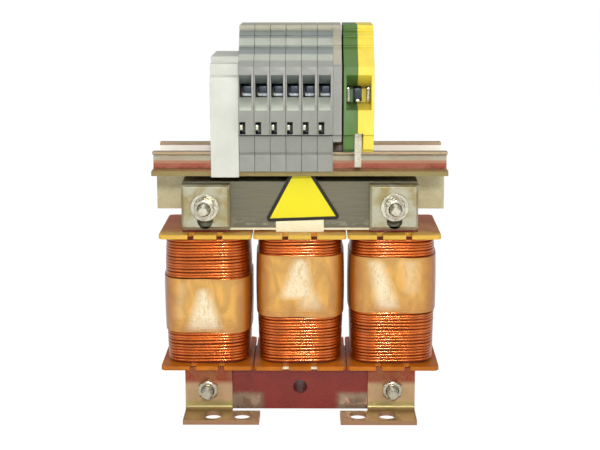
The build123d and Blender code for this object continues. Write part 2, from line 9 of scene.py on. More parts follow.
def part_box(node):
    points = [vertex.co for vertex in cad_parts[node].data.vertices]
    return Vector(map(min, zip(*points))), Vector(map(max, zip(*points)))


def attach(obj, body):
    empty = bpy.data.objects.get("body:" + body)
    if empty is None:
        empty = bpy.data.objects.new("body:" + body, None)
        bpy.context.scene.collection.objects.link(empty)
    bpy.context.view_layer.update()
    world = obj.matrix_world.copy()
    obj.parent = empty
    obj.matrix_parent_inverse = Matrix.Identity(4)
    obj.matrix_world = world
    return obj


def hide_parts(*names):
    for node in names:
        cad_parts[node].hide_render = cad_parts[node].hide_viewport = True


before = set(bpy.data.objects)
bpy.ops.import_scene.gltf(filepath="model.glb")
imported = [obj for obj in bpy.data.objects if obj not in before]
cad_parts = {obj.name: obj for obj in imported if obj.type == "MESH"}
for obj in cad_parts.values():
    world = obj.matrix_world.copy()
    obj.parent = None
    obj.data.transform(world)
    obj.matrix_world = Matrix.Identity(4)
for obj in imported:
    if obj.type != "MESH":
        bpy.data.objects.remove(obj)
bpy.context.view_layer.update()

bl_info = {
    "name": "Line Reactor Finisher",
    "version": (1, 0, 0),
    "blender": (4, 5, 0),
    "location": "View3D > Sidebar > Reactor",
    "description": "Dresses a three-phase line reactor: coils, tape, fasteners, sheet metal and terminals",
    "category": "Add Mesh",
}

# The frame is in metres. MM turns a size in millimetres into metres.
MM = 0.001
BODY = "root"

COILS = ("left", "centre", "right")
FEET = ("foot_front_left", "foot_front_right", "foot_back_left", "foot_back_right")
HOUSINGS = tuple(f"terminal_housing_{number}" for number in range(1, 7))


# Places taken from the frame

def box_of(node):
    """Lowest and highest corner of a node, as two arrays in metres."""
    low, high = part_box(node)
    return np.array(low), np.array(high)


def bolt_x(coil):
    """A bolt stands in line with the middle of its coil."""
    low, high = box_of(f"bobbin_{coil}")
    return (low[0] + high[0]) / 2


def upper_bolts():
    """X and Z of the two bolts through the upper yoke."""
    low, high = box_of("upper_yoke")
    return [(bolt_x(coil), (low[2] + high[2]) / 2) for coil in ("left", "right")]


def lower_bolts():
    """X and Z of the two bolts through the lower yoke."""
    low, _ = box_of("core_e_stack")
    top = box_of("bobbin_left")[0][2]
    return [(bolt_x(coil), (low[2] + top) / 2) for coil in ("left", "right")]


SHEET = 2.0 * MM
RAIL_TOP = box_of("mounting_rail")[1][2]
RAIL_FLOOR = box_of("mounting_rail")[0][2]


# Sizes and colours that a user would change

def linear(code):
    """An sRGB hex colour as linear red, green, blue and alpha."""
    channels = [int(code[place:place + 2], 16) / 255 for place in (1, 3, 5)]
    return [c / 12.92 if c <= 0.04045 else ((c + 0.055) / 1.055) ** 2.4 for c in channels] + [1.0]


def colour(name, description, code):
    """A colour property with a default given as sRGB hex."""
    return bpy.props.FloatVectorProperty(
        name=name, description=description, subtype="COLOR", size=4, min=0, max=1, default=linear(code))


def length(name, description, millimetres):
    """A length property with a default given in millimetres."""
    return bpy.props.FloatProperty(
        name=name, description=description, subtype="DISTANCE", unit="LENGTH", min=0,
        precision=5, default=millimetres * MM)


class ReactorCoilSettings(bpy.types.PropertyGroup):
    """Sizes of the windings and of the tape round them"""
    turns: bpy.props.IntProperty(
        name="Turns", description="Turns of wire in the outer layer", default=41, min=2)
    wire: length("Wire", "Diameter of the enamelled wire", 1.31)
    side_bow: length("Side bow", "How far the turns stand off the long sides of the bobbin", 1.9)
    front_bow: length("Front bow", "How far the turns stand off the front and back", 0.55)
    unevenness: length("Unevenness", "How far a turn strays up or down", 0.16)
    tape_ridge: length("Tape ridge", "Height of the turns that show through the tape", 0.13)


class ReactorFastenerSettings(bpy.types.PropertyGroup):
    """Sizes of the tie bolts and of what sits on them"""
    bolt: length("Bolt", "Diameter of the tie bolts", 5.0)
    nut_across: length("Nut", "Width of the nuts and bolt heads across their flats", 8.0)
    nut_height: length("Nut height", "Height of the nuts", 4.0)
    head_height: length("Head height", "Height of the bolt heads", 3.5)
    washer: length("Washer", "Outer diameter of the flat washers", 12.0)
    washer_thickness: length("Washer thickness", "Thickness of the flat washers", 1.0)
    spring: length("Spring washer", "Outer diameter of the spring washers", 9.2)
    spring_thickness: length("Spring washer thickness", "Thickness of the spring washers", 1.2)
    bore: length("Bore", "Bore of the washers", 5.3)


class ReactorEdgeSettings(bpy.types.PropertyGroup):
    """Edge roundings of the pieces that keep the form of the model"""
    steel: length("Steel", "Rounding on cut sheet and laminations", 0.18)
    moulded: length("Moulded", "Rounding on moulded housings", 0.16)
    bobbin: length("Bobbin", "Rounding on the bobbin flanges", 0.3)


class ReactorStageSettings(bpy.types.PropertyGroup):
    """Floor and lamps"""
    floor_size: bpy.props.FloatProperty(
        name="Floor size", description="Side of the square floor", unit="LENGTH", default=40.0)
    ambient: bpy.props.FloatProperty(
        name="Ambient", description="Diffuse light from all round", default=0.4, min=0)
    front_power: bpy.props.FloatProperty(
        name="Front lamp", description="Power of the small lamp at the front, in watts", default=5.0, min=0)
    soft_power: bpy.props.FloatProperty(
        name="Softboxes", description="Power of each softbox, in watts", default=2.6, min=0)


class ReactorColours(bpy.types.PropertyGroup):
    """Colours of the finishes"""
    # Painted reflection: the red of the lower core stands in for a red surface in front, reflected in its
    # glossy steel
    core_painted_red_reflection: colour("Varnish", "Red insulating varnish on the lower core", "#9c3226")
    # Painted reflection of the feet's bases on the glossy lower core
    core_painted_foot_reflection: colour("Thin varnish", "Bare patch beside the feet", "#b9b294")
    yoke_steel: colour("Yoke steel", "Bare lamination steel", "#8d8a73")
    zinc: colour("Zinc", "Bright zinc plating", "#c2bfa6")
    zinc_olive: colour("Olive zinc", "Olive tint of the passivation", "#98854a")
    zinc_pink: colour("Pink zinc", "Pink tint of the passivation", "#bb8468")
    # Painted reflection of a red surface in front, on the rail's wall near its floor
    rail_painted_red_reflection: colour("Red zinc", "Reddish tint where the plating is thin", "#a2442e")
    # Painted reflection of the white surroundings on the inner face of the rail's far wall
    rail_painted_inner_reflection: colour("Inner wall", "Bright inner wall of the rail", "#fffdf0")
    lip: colour("Rail lip", "Thin passivation on the lips of the rail", "#b5a07c")
    foot_base: colour("Foot base", "Olive passivation on the feet", "#a08446")
    foot_bend: colour("Foot bend", "Passivation on the bends of the feet", "#a69a5c")
    # Painted reflection of a red surface in front, on the upper part of the feet's uprights
    foot_painted_red_reflection: colour("Foot top", "Reddish film at the top of the feet", "#9c3a14")
    # Painted reflection of the feet's bases, on the lower part of the uprights
    foot_painted_base_reflection: colour("Foot upright", "Pale passivation above the bends", "#c8a47c")
    leaf: colour("Leaf", "Passivation on the leaf behind the core", "#cbc19a")
    copper: colour("Copper", "Enamelled copper wire", "#d96e1c")
    # Painted shade: the inner layers are the same copper, painted dark
    copper_painted_shade: colour("Deep copper", "Inner layers of the winding", "#6a1c06")
    tape: colour("Tape", "Amber polyester tape", "#cf9a40")
    # Painted highlight: pale streaks on the front of the tapes
    tape_painted_glint: colour("Pale tape", "Places where air lies under the tape", "#efe0bb")
    # The wire's colour through the tape over its ridges, and painted shade at the tape's corners and sides
    tape_wire_and_shade: colour("Tape edge", "Tape over bare wire at the corners", "#a4561a")
    bobbin: colour("Bobbin", "Amber polyamide", "#bf6c0c")
    # Painted light on the front edge of the upper flanges
    bobbin_painted_light: colour("Golden bobbin", "Thin front edge of the upper flanges", "#e0b84a")
    # Painted shade on the bobbins further back from the front
    bobbin_painted_shade: colour("Deep bobbin", "Amber polyamide where it is thick", "#b05316")
    board: colour("Board", "Cream pressboard", "#faf3cf")
    housing: colour("Housing", "Grey polyamide", "#979890")
    housing_warm: colour("Warm housing", "Grey polyamide on top of the terminals", "#b0ad97")
    # Painted highlight on the shoulder and ridges of the housings, and painted light on the funnel floors
    housing_painted_highlight: colour("Pale housing", "Polished bands of the grey polyamide", "#b4b8ac")
    # Painted shade in the marker grooves and on the funnel roofs
    housing_painted_shade: colour("Dark housing", "Marker grooves of the terminals", "#858c88")
    # Painted shade on the lower front of the housings
    housing_low_painted_shade: colour("Lower housing", "Grey polyamide of the lower front", "#8f9087")
    # Painted shade: the inside of the pockets and slots is grey polyamide painted near black
    painted_hollow_shade: colour("Hollow", "Inside of the clamp pockets and slots", "#24282c")
    stop: colour("End stop", "White polyamide", "#d0d1c6")
    green: colour("Green", "Green polyamide of the earth terminal", "#51752f")
    yellow: colour("Yellow", "Yellow polyamide of the earth terminal", "#f4dc4a")
    label: colour("Label", "Yellow film of the label", "#ecdf00")
    label_rim: colour("Label rim", "Dark rim of the label", "#140c04")
    fastener: colour("Fastener", "Bright plated steel", "#cfcab6")
    clamp: colour("Clamp", "Blued steel of the wire clamps", "#35414c")
    clamp_edge: colour("Clamp edge", "Bright lower edge of the wire clamps", "#dfe6ee")


# Materials

SMOOTH = {"interpolation_type": "SMOOTHSTEP"}


def add_node(tree, kind, inputs=None, output=0, **settings):
    """Adds a shader node with its settings and its inputs, which are constants or sockets to link,
    and returns the asked output."""
    node = tree.nodes.new("ShaderNode" + kind)
    for name, value in settings.items():
        setattr(node, name, value)
    for key, value in (inputs or {}).items():
        if isinstance(value, bpy.types.NodeSocket):
            tree.links.new(value, node.inputs[key])
        else:
            node.inputs[key].default_value = value
    return node.outputs[output]


def darker(shade, share):
    """The same colour at a share of its brightness."""
    return [channel * share for channel in shade[:3]] + [1.0]


class Finish:
    """A material with a Principled shader and its patterns, which read Object coordinates in metres"""

    def __init__(self, name, **values):
        """The values are constants on the shader's sockets, named with _ for a space."""
        self.material = bpy.data.materials.new(name)
        self.material.use_nodes = True
        self.tree = self.material.node_tree
        self.shader = self.tree.nodes["Principled BSDF"]
        for key, value in values.items():
            self.shader.inputs[key.replace("_", " ")].default_value = value
        self.place = add_node(self.tree, "TexCoord", output="Object")

    def link(self, **patterns):
        """Links patterns to the shader's sockets and returns the material."""
        for key, pattern in patterns.items():
            self.tree.links.new(pattern, self.shader.inputs[key.replace("_", " ")])
        return self.material

    def blotches(self, size, stretch=(1, 1, 1), detail=3.0, distortion=0.0):
        """Cloudy noise with blotches of about a size in metres, drawn out along the axes by stretch."""
        scaled = add_node(self.tree, "Mapping",
                          {"Vector": self.place, "Scale": [1 / part for part in stretch]})
        return add_node(self.tree, "TexNoise", {
            "Vector": scaled, "Scale": 1 / size, "Detail": detail, "Roughness": 0.55,
            "Distortion": distortion}, "Fac")

    def overlap(self, pattern, *others):
        """Where several patterns show at once: their product."""
        for other in others:
            pattern = add_node(self.tree, "Math", {0: pattern, 1: other}, operation="MULTIPLY")
        return pattern

    def stained(self, shade, stain, *patterns):
        """A colour with another one over it where all the patterns show."""
        return add_node(self.tree, "Mix", {0: self.overlap(*patterns), 6: shade, 7: stain}, 2,
                        data_type="RGBA")

    def mottled(self, pattern, low, high, first, second, least=0.0, most=1.0):
        """Two colours shared out by a pattern: the share of the second goes from least to most
        while the pattern goes from low to high."""
        share = add_node(self.tree, "MapRange", {
            "Value": pattern, "From Min": low, "From Max": high, "To Min": least, "To Max": most},
            **SMOOTH)
        return self.stained(first, second, share)

    def along(self, axis, start, end, least=0.0, most=1.0):
        """A value that goes softly from least to most between two places on an axis."""
        place = add_node(self.tree, "SeparateXYZ", {0: self.place}, axis)
        return add_node(self.tree, "MapRange", {
            "Value": place, "From Min": start, "From Max": end, "To Min": least, "To Max": most},
            **SMOOTH)

    def height_bands(self, bands, softness):
        """Colour bands by height, with a soft step between neighbours. Each band is a height in
        metres and the colour from there upwards."""
        height = add_node(self.tree, "SeparateXYZ", {0: self.place}, "Z")
        shade = bands[0][1]
        for level, following in bands[1:]:
            shade = self.mottled(height, level - softness, level + softness, shade, following)
        return shade


LAMINATION = 0.5 * MM
GROOVE_DEPTH = 0.04 * MM
FOOT_LIP = 12.1 * MM


def laminated(steel, shade, groove):
    """Grooves between laminations, which are stacked along Y: a sine wave with one lamination as
    its length darkens the colour in its troughs. Returns the colour and the bump."""
    wave = add_node(steel.tree, "TexWave",
                    {"Vector": steel.place, "Scale": pi / 10 / LAMINATION, "Distortion": 0.0}, "Fac",
                    wave_type="BANDS", bands_direction="Y", wave_profile="SIN")
    relief = add_node(steel.tree, "Bump", {"Height": wave, "Distance": GROOVE_DEPTH})
    return steel.mottled(wave, 0.0, 0.25, shade, groove, 0.5, 0.0), relief


def laminations_painted_red_reflection(colours):
    """Silicon-steel laminations: glossy, blotched, lines on the cut sides, and red all over as a painted
    reflection of a red surface in front. Beside the feet a pale grey patch is a painted reflection of the
    feet's bases."""
    steel = Finish("silicon_steel_painted_red_reflection", Metallic=0.3, Coat_Weight=0.4, Coat_Roughness=0.15)
    # Painted reflection of a red surface in front, blotched
    shade = steel.mottled(steel.blotches(18 * MM), 0.35, 0.7, colours.core_painted_red_reflection, darker(colours.core_painted_red_reflection, 1.25))
    # Painted reflection of the feet's bases: a pale, patchy area low on the lower core beside each foot
    foot_edge = box_of("foot_front_right")[0][0] + FOOT_LIP
    x = add_node(steel.tree, "SeparateXYZ", {0: steel.place}, "X")
    across = add_node(steel.tree, "Math", {0: x}, operation="ABSOLUTE")
    near = add_node(steel.tree, "MapRange", {
        "Value": across, "From Min": foot_edge - 15 * MM, "From Max": foot_edge - 11 * MM}, **SMOOTH)
    low = steel.along("Z", 7.5 * MM, 10 * MM, 1.0, 0.0)
    cloud = steel.blotches(4 * MM)
    patchy = add_node(steel.tree, "MapRange", {
        "Value": cloud, "From Min": 0.3, "From Max": 0.6, "To Min": 0.55, "To Max": 0.9}, **SMOOTH)
    shade = steel.stained(shade, colours.core_painted_foot_reflection, near, low, patchy)
    shade, relief = laminated(steel, shade, darker(colours.core_painted_red_reflection, 0.25))
    rough = add_node(steel.tree, "MapRange", {
        "Value": cloud, "From Min": 0.3, "From Max": 0.7, "To Min": 0.22, "To Max": 0.38}, **SMOOTH)
    return steel.link(Base_Color=shade, Roughness=rough, Normal=relief)


def bare_laminations(colours):
    """Cold-rolled silicon steel: grey-olive, with rolling marks along X and lines on the cut sides. Its
    lower part is flecked with a painted reflection of the bobbin flanges below it. The rolling marks are
    drawn coarser than real ones, so that they show."""
    steel = Finish("rolled_silicon_steel", Metallic=0.4)
    rolling = steel.blotches(0.5 * MM, stretch=(40, 1, 1), detail=2.0)
    cloud = steel.blotches(14 * MM, stretch=(2, 1, 1))
    shade = steel.mottled(rolling, 0.35, 0.65, darker(colours.yoke_steel, 0.88),
                          darker(colours.yoke_steel, 1.12))
    shade = steel.mottled(cloud, 0.45, 0.75, shade, colours.zinc_olive, 0.0, 0.35)
    # Painted reflection of the bobbin flanges: pale flecks on the lowest few millimetres of the yoke
    floor = box_of("upper_yoke")[0][2]
    low = steel.along("Z", floor + 1 * MM, floor + 6 * MM, 1.0, 0.0)
    painted_reflection_flecks = add_node(steel.tree, "MapRange", {
        "Value": steel.blotches(1.2 * MM, stretch=(3, 1, 1)), "From Min": 0.5, "From Max": 0.62,
        "To Max": 0.7}, **SMOOTH)
    shade = steel.stained(shade, colours.zinc, low, painted_reflection_flecks)
    shade, relief = laminated(steel, shade, darker(colours.yoke_steel, 0.2))
    rough = add_node(steel.tree, "MapRange", {
        "Value": rolling, "From Min": 0.3, "From Max": 0.7, "To Min": 0.34, "To Max": 0.5}, **SMOOTH)
    return steel.link(Base_Color=shade, Roughness=rough, Normal=relief)


def zinc_film(colours, name, bands, tint, tint_share, softness=0.35 * MM):
    """Zinc-plated sheet with a chromate film, whose colour drifts between grey, olive and pink, on top of
    colour bands by height, which on the feet and the rail are partly painted reflections. Returns the
    finish, whose colour isn't linked yet, and that colour."""
    zinc = Finish(name, Metallic=0.5)
    cloud = zinc.blotches(9 * MM, detail=4.0, distortion=0.6)
    fine = zinc.blotches(0.8 * MM, detail=2.0)
    shade = zinc.height_bands(bands, softness)
    shade = zinc.mottled(cloud, 0.4, 0.66, shade, tint, 0.0, tint_share)
    shade = zinc.mottled(fine, 0.3, 0.7, shade, darker(colours.zinc, 0.6), 0.0, 0.22)
    rough = add_node(zinc.tree, "MapRange", {
        "Value": fine, "From Min": 0.3, "From Max": 0.7, "To Min": 0.3, "To Max": 0.46}, **SMOOTH)
    zinc.link(Roughness=rough, Normal=add_node(zinc.tree, "Bump", {"Height": fine, "Distance": 0.01 * MM}))
    return zinc, shade


def plated_foot(colours):
    """Zinc-plated foot: pale base, olive bend, and on the upright a pale lower part, a painted reflection of
    the base, and a reddish upper part, a painted reflection of a red surface in front.
    """
    # The band above the bends is a painted reflection of the base, the reddish band at the top a painted
    # reflection of a red surface in front
    bands = ((0, darker(colours.zinc_pink, 0.8)), (SHEET - 0.2 * MM, colours.foot_base),
             (3.2 * MM, colours.foot_bend), (5.6 * MM, colours.foot_painted_base_reflection), (14.0 * MM, colours.foot_painted_red_reflection))
    zinc, shade = zinc_film(colours, "passivated_zinc_foot", bands, colours.zinc_olive, 0.3, 1.4 * MM)
    return zinc.link(Base_Color=shade)


def plated_plate(colours):
    """Zinc-plated clamp plate, with a strong olive drift."""
    bands = ((0, darker(colours.zinc, 0.88)),)
    zinc, shade = zinc_film(colours, "passivated_zinc_plate", bands, colours.zinc_olive, 0.9)
    return zinc.link(Base_Color=shade)


def plated_carrier(colours):
    """Zinc-plated rail carrier: its leaf behind the core is pale, and olive where it meets the rail."""
    bands = ((0, colours.leaf), (RAIL_FLOOR - SHEET - 0.2 * MM, darker(colours.zinc_olive, 0.8)))
    zinc, shade = zinc_film(colours, "passivated_zinc_carrier", bands, colours.zinc_olive, 0.3)
    return zinc.link(Base_Color=shade)


RAIL_INNER = 12.5 * MM


def plated_rail(colours):
    """Zinc-plated rail: its wall is pale, with a reddish band where it bends into the floor, which is a
    painted reflection of a red surface in front, and the inner face of its far wall is bright, a painted
    reflection of the white surroundings."""
    # The reddish bands near the floor are a painted reflection of a red surface in front; the band under the
    # lip is a darker red
    bands = ((RAIL_FLOOR, darker(colours.rail_painted_red_reflection, 0.7)), (RAIL_FLOOR + 0.7 * MM, colours.rail_painted_red_reflection),
             (RAIL_FLOOR + 2.2 * MM, colours.zinc_pink), (RAIL_FLOOR + 3.4 * MM, colours.zinc),
             (RAIL_TOP - 1.6 * MM, darker(colours.rail_painted_red_reflection, 0.6)), (RAIL_TOP - 0.9 * MM, colours.lip))
    zinc, shade = zinc_film(colours, "passivated_zinc_rail", bands, colours.zinc_pink, 0.3)
    # Painted reflection: the inner face of the far wall is painted bright and made less metallic
    inside = zinc.along("Y", RAIL_INNER - 1.0 * MM, RAIL_INNER - 0.5 * MM)
    below = zinc.along("Z", RAIL_TOP - 1.3 * MM, RAIL_TOP - 0.9 * MM, 1.0, 0.0)
    pale = zinc.overlap(inside, below)
    metal = add_node(zinc.tree, "MapRange", {"Value": pale, "To Min": 0.5, "To Max": 0.0}, **SMOOTH)
    return zinc.link(Base_Color=zinc.stained(shade, colours.rail_painted_inner_reflection, pale), Metallic=metal)


def enamelled_copper(colours):
    """Round copper wire under clear amber enamel: saturated orange with pale gleams."""
    copper = Finish("enamelled_copper_wire", Metallic=0.8, Roughness=0.26, Coat_Weight=0.8,
                    Coat_Roughness=0.12)
    drift = copper.blotches(5 * MM, stretch=(3, 3, 0.3))
    shade = copper.mottled(drift, 0.3, 0.7, darker(colours.copper, 0.72), colours.copper)
    return copper.link(Base_Color=shade)


def inner_copper(colours):
    """The layers below: the same wire, painted dark as the shade that fills the gaps between the turns."""
    copper = Finish("inner_winding_layers", Metallic=0.2, Roughness=0.6)
    deep = darker(colours.copper_painted_shade, 0.7)
    return copper.link(Base_Color=copper.stained(deep, colours.copper_painted_shade, copper.blotches(6 * MM)))


def amber_tape(colours):
    """Polyester film tape with amber adhesive: glossy, with painted highlights as pale streaks on its front,
    and painted shade at its corners and sides.
    """
    tape = Finish("polyester_film_tape", Roughness=0.32, IOR=1.57, Coat_Weight=0.6, Coat_Roughness=0.15)
    cloud = tape.blotches(7 * MM, stretch=(1.0, 1.0, 2.0), detail=5.0, distortion=1.2)
    shade = tape.mottled(cloud, 0.35, 0.7, darker(colours.tape, 0.86), darker(colours.tape, 1.22))
    crumple = tape.blotches(1.1 * MM)
    folds = tape.blotches(3.2 * MM, stretch=(0.7, 1.0, 2.4), detail=4.0, distortion=1.6)
    # Painted highlight: pale streaks on the front, broken up by the crumple and fold noise
    air = add_node(tape.tree, "Attribute", None, "Fac", attribute_name="painted_tape_glint")
    speckled = add_node(tape.tree, "MapRange", {
        "Value": crumple, "From Min": 0.3, "From Max": 0.6, "To Min": 0.7}, **SMOOTH)
    folded = add_node(tape.tree, "MapRange", {
        "Value": folds, "From Min": 0.34, "From Max": 0.5, "To Min": 0.55}, **SMOOTH)
    shade = tape.stained(shade, colours.tape_painted_glint, air, speckled, folded)
    # Painted shade at the corners and sides, with the wire's colour over the ridges
    wire = add_node(tape.tree, "Attribute", None, "Fac", attribute_name="wire_and_painted_shade")
    shade = tape.stained(shade, colours.tape_wire_and_shade, wire)
    height = add_node(tape.tree, "Math", {0: crumple, 1: folds}, operation="ADD")
    relief = add_node(tape.tree, "Bump", {"Height": height, "Distance": 0.06 * MM, "Strength": 0.7})
    return tape.link(Base_Color=shade, Normal=relief)


def amber_polyamide(colours):
    """Glass-filled polyamide in its natural amber, moulded: slightly waxy, golden with painted light along
    the front edge of the upper flanges and deep orange with painted shade further back, with a grain coarse
    enough to show."""
    amber = Finish(
        "natural_amber_polyamide", Roughness=0.42, IOR=1.53, Specular_IOR_Level=0.3, Subsurface_Weight=0.2,
        Subsurface_Radius=[1.2 * MM, 0.7 * MM, 0.25 * MM], Subsurface_Scale=1.0)
    shade = amber.mottled(amber.blotches(10 * MM), 0.35, 0.7, darker(colours.bobbin, 0.82),
                          darker(colours.bobbin, 1.12))
    front = box_of("bobbin_left")[0][1]
    y = add_node(amber.tree, "SeparateXYZ", {0: amber.place}, "Y")
    stray = add_node(amber.tree, "MapRange", {
        "Value": amber.blotches(5 * MM), "From Min": 0.3, "From Max": 0.7, "To Min": -2 * MM,
        "To Max": 2 * MM}, **SMOOTH)
    depth = add_node(amber.tree, "Math", {0: y, 1: stray}, operation="ADD")
    # Painted shade: deeper orange further back from the front
    shade = amber.mottled(depth, front + 7 * MM, front + 17 * MM, shade, colours.bobbin_painted_shade)
    # Painted light: golden along the front of the upper flanges
    edge = add_node(amber.tree, "MapRange", {
        "Value": depth, "From Min": front + 2 * MM, "From Max": front + 10 * MM, "To Min": 0.85,
        "To Max": 0.0}, **SMOOTH)
    upper = amber.along("Z", 70 * MM, 78 * MM)
    shade = amber.stained(shade, colours.bobbin_painted_light, upper, edge)
    grain = add_node(amber.tree, "Bump", {"Height": amber.blotches(0.4 * MM), "Distance": 0.01 * MM})
    return amber.link(Base_Color=shade, Normal=grain)


def moulded_polyamide(name, bands, softness=0.35 * MM):
    """Moulded polyamide: satin, with a faint grain from the mould, and colour bands by height, which on the
    grey housings and their funnels are painted light and painted shade. The grain is drawn coarser than a
    real one, so that it shows."""
    plastic = Finish(name, Roughness=0.45, IOR=1.53)
    shade = plastic.height_bands(bands, softness)
    shade = plastic.mottled(plastic.blotches(8 * MM), 0.3, 0.7, shade, [0, 0, 0, 1], 0.0, 0.08)
    grain = add_node(plastic.tree, "Bump", {"Height": plastic.blotches(0.35 * MM), "Distance": 0.008 * MM})
    return plastic.link(Base_Color=shade, Normal=grain)


def pressboard(colours):
    """Cream pressboard: matt and fibrous, with its fibres drawn coarse enough to show."""
    board = Finish("cream_pressboard", Roughness=0.8, IOR=1.5)
    fibre = board.blotches(0.5 * MM, stretch=(4, 1, 1), detail=4.0)
    relief = add_node(board.tree, "Bump", {"Height": fibre, "Distance": 0.02 * MM})
    return board.link(Base_Color=board.mottled(fibre, 0.3, 0.7, darker(colours.board, 0.9), colours.board),
                      Normal=relief)


def bright_plating(colours):
    """Turned and rolled steel under bright plating."""
    plated = Finish("bright_plated_steel", Metallic=1.0)
    cloud = plated.blotches(2 * MM)
    rough = add_node(plated.tree, "MapRange", {
        "Value": cloud, "From Min": 0.3, "From Max": 0.7, "To Min": 0.16, "To Max": 0.32}, **SMOOTH)
    shade = plated.mottled(cloud, 0.3, 0.7, colours.fastener, darker(colours.fastener, 0.88))
    return plated.link(Base_Color=shade, Roughness=rough)


def blued_steel(colours, edge):
    """Hardened spring steel of the wire clamps, blue-black, and bright below a height."""
    steel = Finish("blued_spring_steel", Metallic=0.3, Roughness=0.35)
    shade = steel.height_bands(((0, colours.clamp_edge), (edge, colours.clamp)), 0.25 * MM)
    cloud = steel.blotches(1.5 * MM)
    return steel.link(Base_Color=steel.mottled(cloud, 0.3, 0.7, shade, darker(colours.clamp, 0.5), 0.0, 0.4))


def tinned_copper(colours):
    """Tinned copper bar: pale grey metal."""
    tin = Finish("tinned_copper", Metallic=1.0, Roughness=0.35)
    dull = darker(colours.fastener, 0.8)
    return tin.link(Base_Color=tin.stained(dull, colours.fastener, tin.blotches(3 * MM)))


LABEL_TURN = radians(2.0)
LABEL_SHIFT = 1.3 * MM
LABEL_SIDE = 33.0 * MM
LABEL_RISE = 3.2 * MM
LABEL_RIM = 1.45 * MM
LABEL_EDGE = 0.12 * MM
FILM_ROUNDING = 0.08 * MM


def printed_film(colours):
    """Printed polyester film: smooth satin yellow with a dark rim. The rim is where the distance to
    the nearest side of the triangle, a dot product with that side's direction, is small."""
    film = Finish("printed_polyester_film", Roughness=0.4, IOR=1.45)
    shade = film.stained(darker(colours.label, 0.94), darker(colours.label, 1.03), film.blotches(6 * MM))
    corner = (LABEL_SHIFT, 0, box_of("upper_yoke")[0][2] + LABEL_RISE)
    from_corner = add_node(film.tree, "VectorMath", {0: film.place, 1: corner}, operation="SUBTRACT")
    centre = LABEL_SIDE / (2 * 3 ** 0.5)
    middle = (-np.sin(LABEL_TURN) * centre, 0, np.cos(LABEL_TURN) * centre)
    gaps = []
    for third in range(3):
        angle = LABEL_TURN - pi / 2 + third * 2 * pi / 3
        away = (np.cos(angle), 0, np.sin(angle))
        reach = add_node(film.tree, "VectorMath", {0: from_corner, 1: away}, "Value",
                         operation="DOT_PRODUCT")
        offset = centre + float(np.dot(middle, away))
        gaps.append(add_node(film.tree, "Math", {0: offset, 1: reach}, operation="SUBTRACT"))
    nearest = gaps[0]
    for gap in gaps[1:]:
        nearest = add_node(film.tree, "Math", {0: nearest, 1: gap}, operation="MINIMUM")
    shade = film.mottled(nearest, LABEL_RIM - LABEL_EDGE, LABEL_RIM + LABEL_EDGE, shade,
                         colours.label_rim, 1.0, 0.0)
    return film.link(Base_Color=shade)


# Meshes

MERGE_DISTANCE = 0.001 * MM
FLAT_ANGLE = radians(0.2)
EDGE_ANGLE = 35.0


def place_piece(name, mesh, material, replaced, sharp):
    """Puts a mesh into the scene with its finish, sharp where faces meet at more than an angle in
    degrees, and lets it ride on the body in place of the nodes that it replaces."""
    mesh.materials.append(material)
    mesh.shade_smooth()
    mesh.set_sharp_from_angle(angle=radians(sharp))
    piece = bpy.data.objects.new(name, mesh)
    bpy.context.scene.collection.objects.link(piece)
    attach(piece, BODY)
    if replaced:
        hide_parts(*replaced)
    return piece


def add_piece(name, shape, material, replaced=(), sharp=40.0):
    """Makes a closed mesh of a shape, which is points and faces, and turns it outwards."""
    points, faces = shape
    mesh = bpy.data.meshes.new(name)
    mesh.from_pydata(np.asarray(points, float).tolist(), [], faces)
    mesh.validate()
    work = bmesh.new()
    work.from_mesh(mesh)
    if work.calc_volume(signed=True) < 0:
        bmesh.ops.reverse_faces(work, faces=work.faces)
    work.to_mesh(mesh)
    work.free()
    return place_piece(name, mesh, material, replaced, sharp)


def edged_copy(node, name, width, material, segments=2, flat=True):
    """A copy of a node whose loose triangles are merged, flat faces joined and edges rounded."""
    work = bmesh.new()
    work.from_mesh(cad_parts[node].data)
    bmesh.ops.remove_doubles(work, verts=work.verts, dist=MERGE_DISTANCE)
    if flat:
        bmesh.ops.dissolve_limit(work, angle_limit=FLAT_ANGLE, verts=work.verts, edges=work.edges)
    mesh = bpy.data.meshes.new(name)
    work.to_mesh(mesh)
    work.free()
    piece = place_piece(name, mesh, material, [node], EDGE_ANGLE)
    rounding = piece.modifiers.new("Rounded edges", "BEVEL")
    rounding.width = width
    rounding.segments = segments
    rounding.limit_method = "ANGLE"
    rounding.angle_limit = radians(EDGE_ANGLE)
    rounding.harden_normals = True
    return piece


def capped(grid, close_rows=False):
    """Shape of a grid of rings, as points and faces: quads between neighbours, round each ring, and a
    face over each end unless the last ring joins the first."""
    rows, columns = grid.shape[:2]
    row, column = np.meshgrid(np.arange(rows if close_rows else rows - 1), np.arange(columns), indexing="ij")
    next_row, next_column = (row + 1) % rows, (column + 1) % columns
    quads = np.stack([row * columns + column, row * columns + next_column,
                      next_row * columns + next_column, next_row * columns + column], axis=-1)
    faces = quads.reshape(-1, 4).tolist()
    if not close_rows:
        faces.append(list(range(columns)))
        faces.append([(rows - 1) * columns + number for number in reversed(range(columns))])
    return grid.reshape(-1, 3), faces


def joined(shapes):
    """Puts several shapes into one."""
    points, faces, start = [], [], 0
    for part_points, part_faces in shapes:
        points.append(part_points)
        faces.extend([[number + start for number in face] for face in part_faces])
        start += len(part_points)
    return np.concatenate(points), faces


def store_attribute(piece, name, values):
    """Keeps one number for each point of the mesh."""
    attribute = piece.data.attributes.new(name, "FLOAT", "POINT")
    attribute.data.foreach_set("value", np.asarray(values, np.float32).ravel())


def assign(node, material):
    """Gives a node of the frame its finish, with its mesh left as it is."""
    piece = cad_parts[node]
    piece.data.materials.clear()
    piece.data.materials.append(material)


# Shapes of the coils

SQUARENESS = 5.5
PLAN_POINTS = 192
WIRE_POINTS = 10
FIRST_SEED = 3

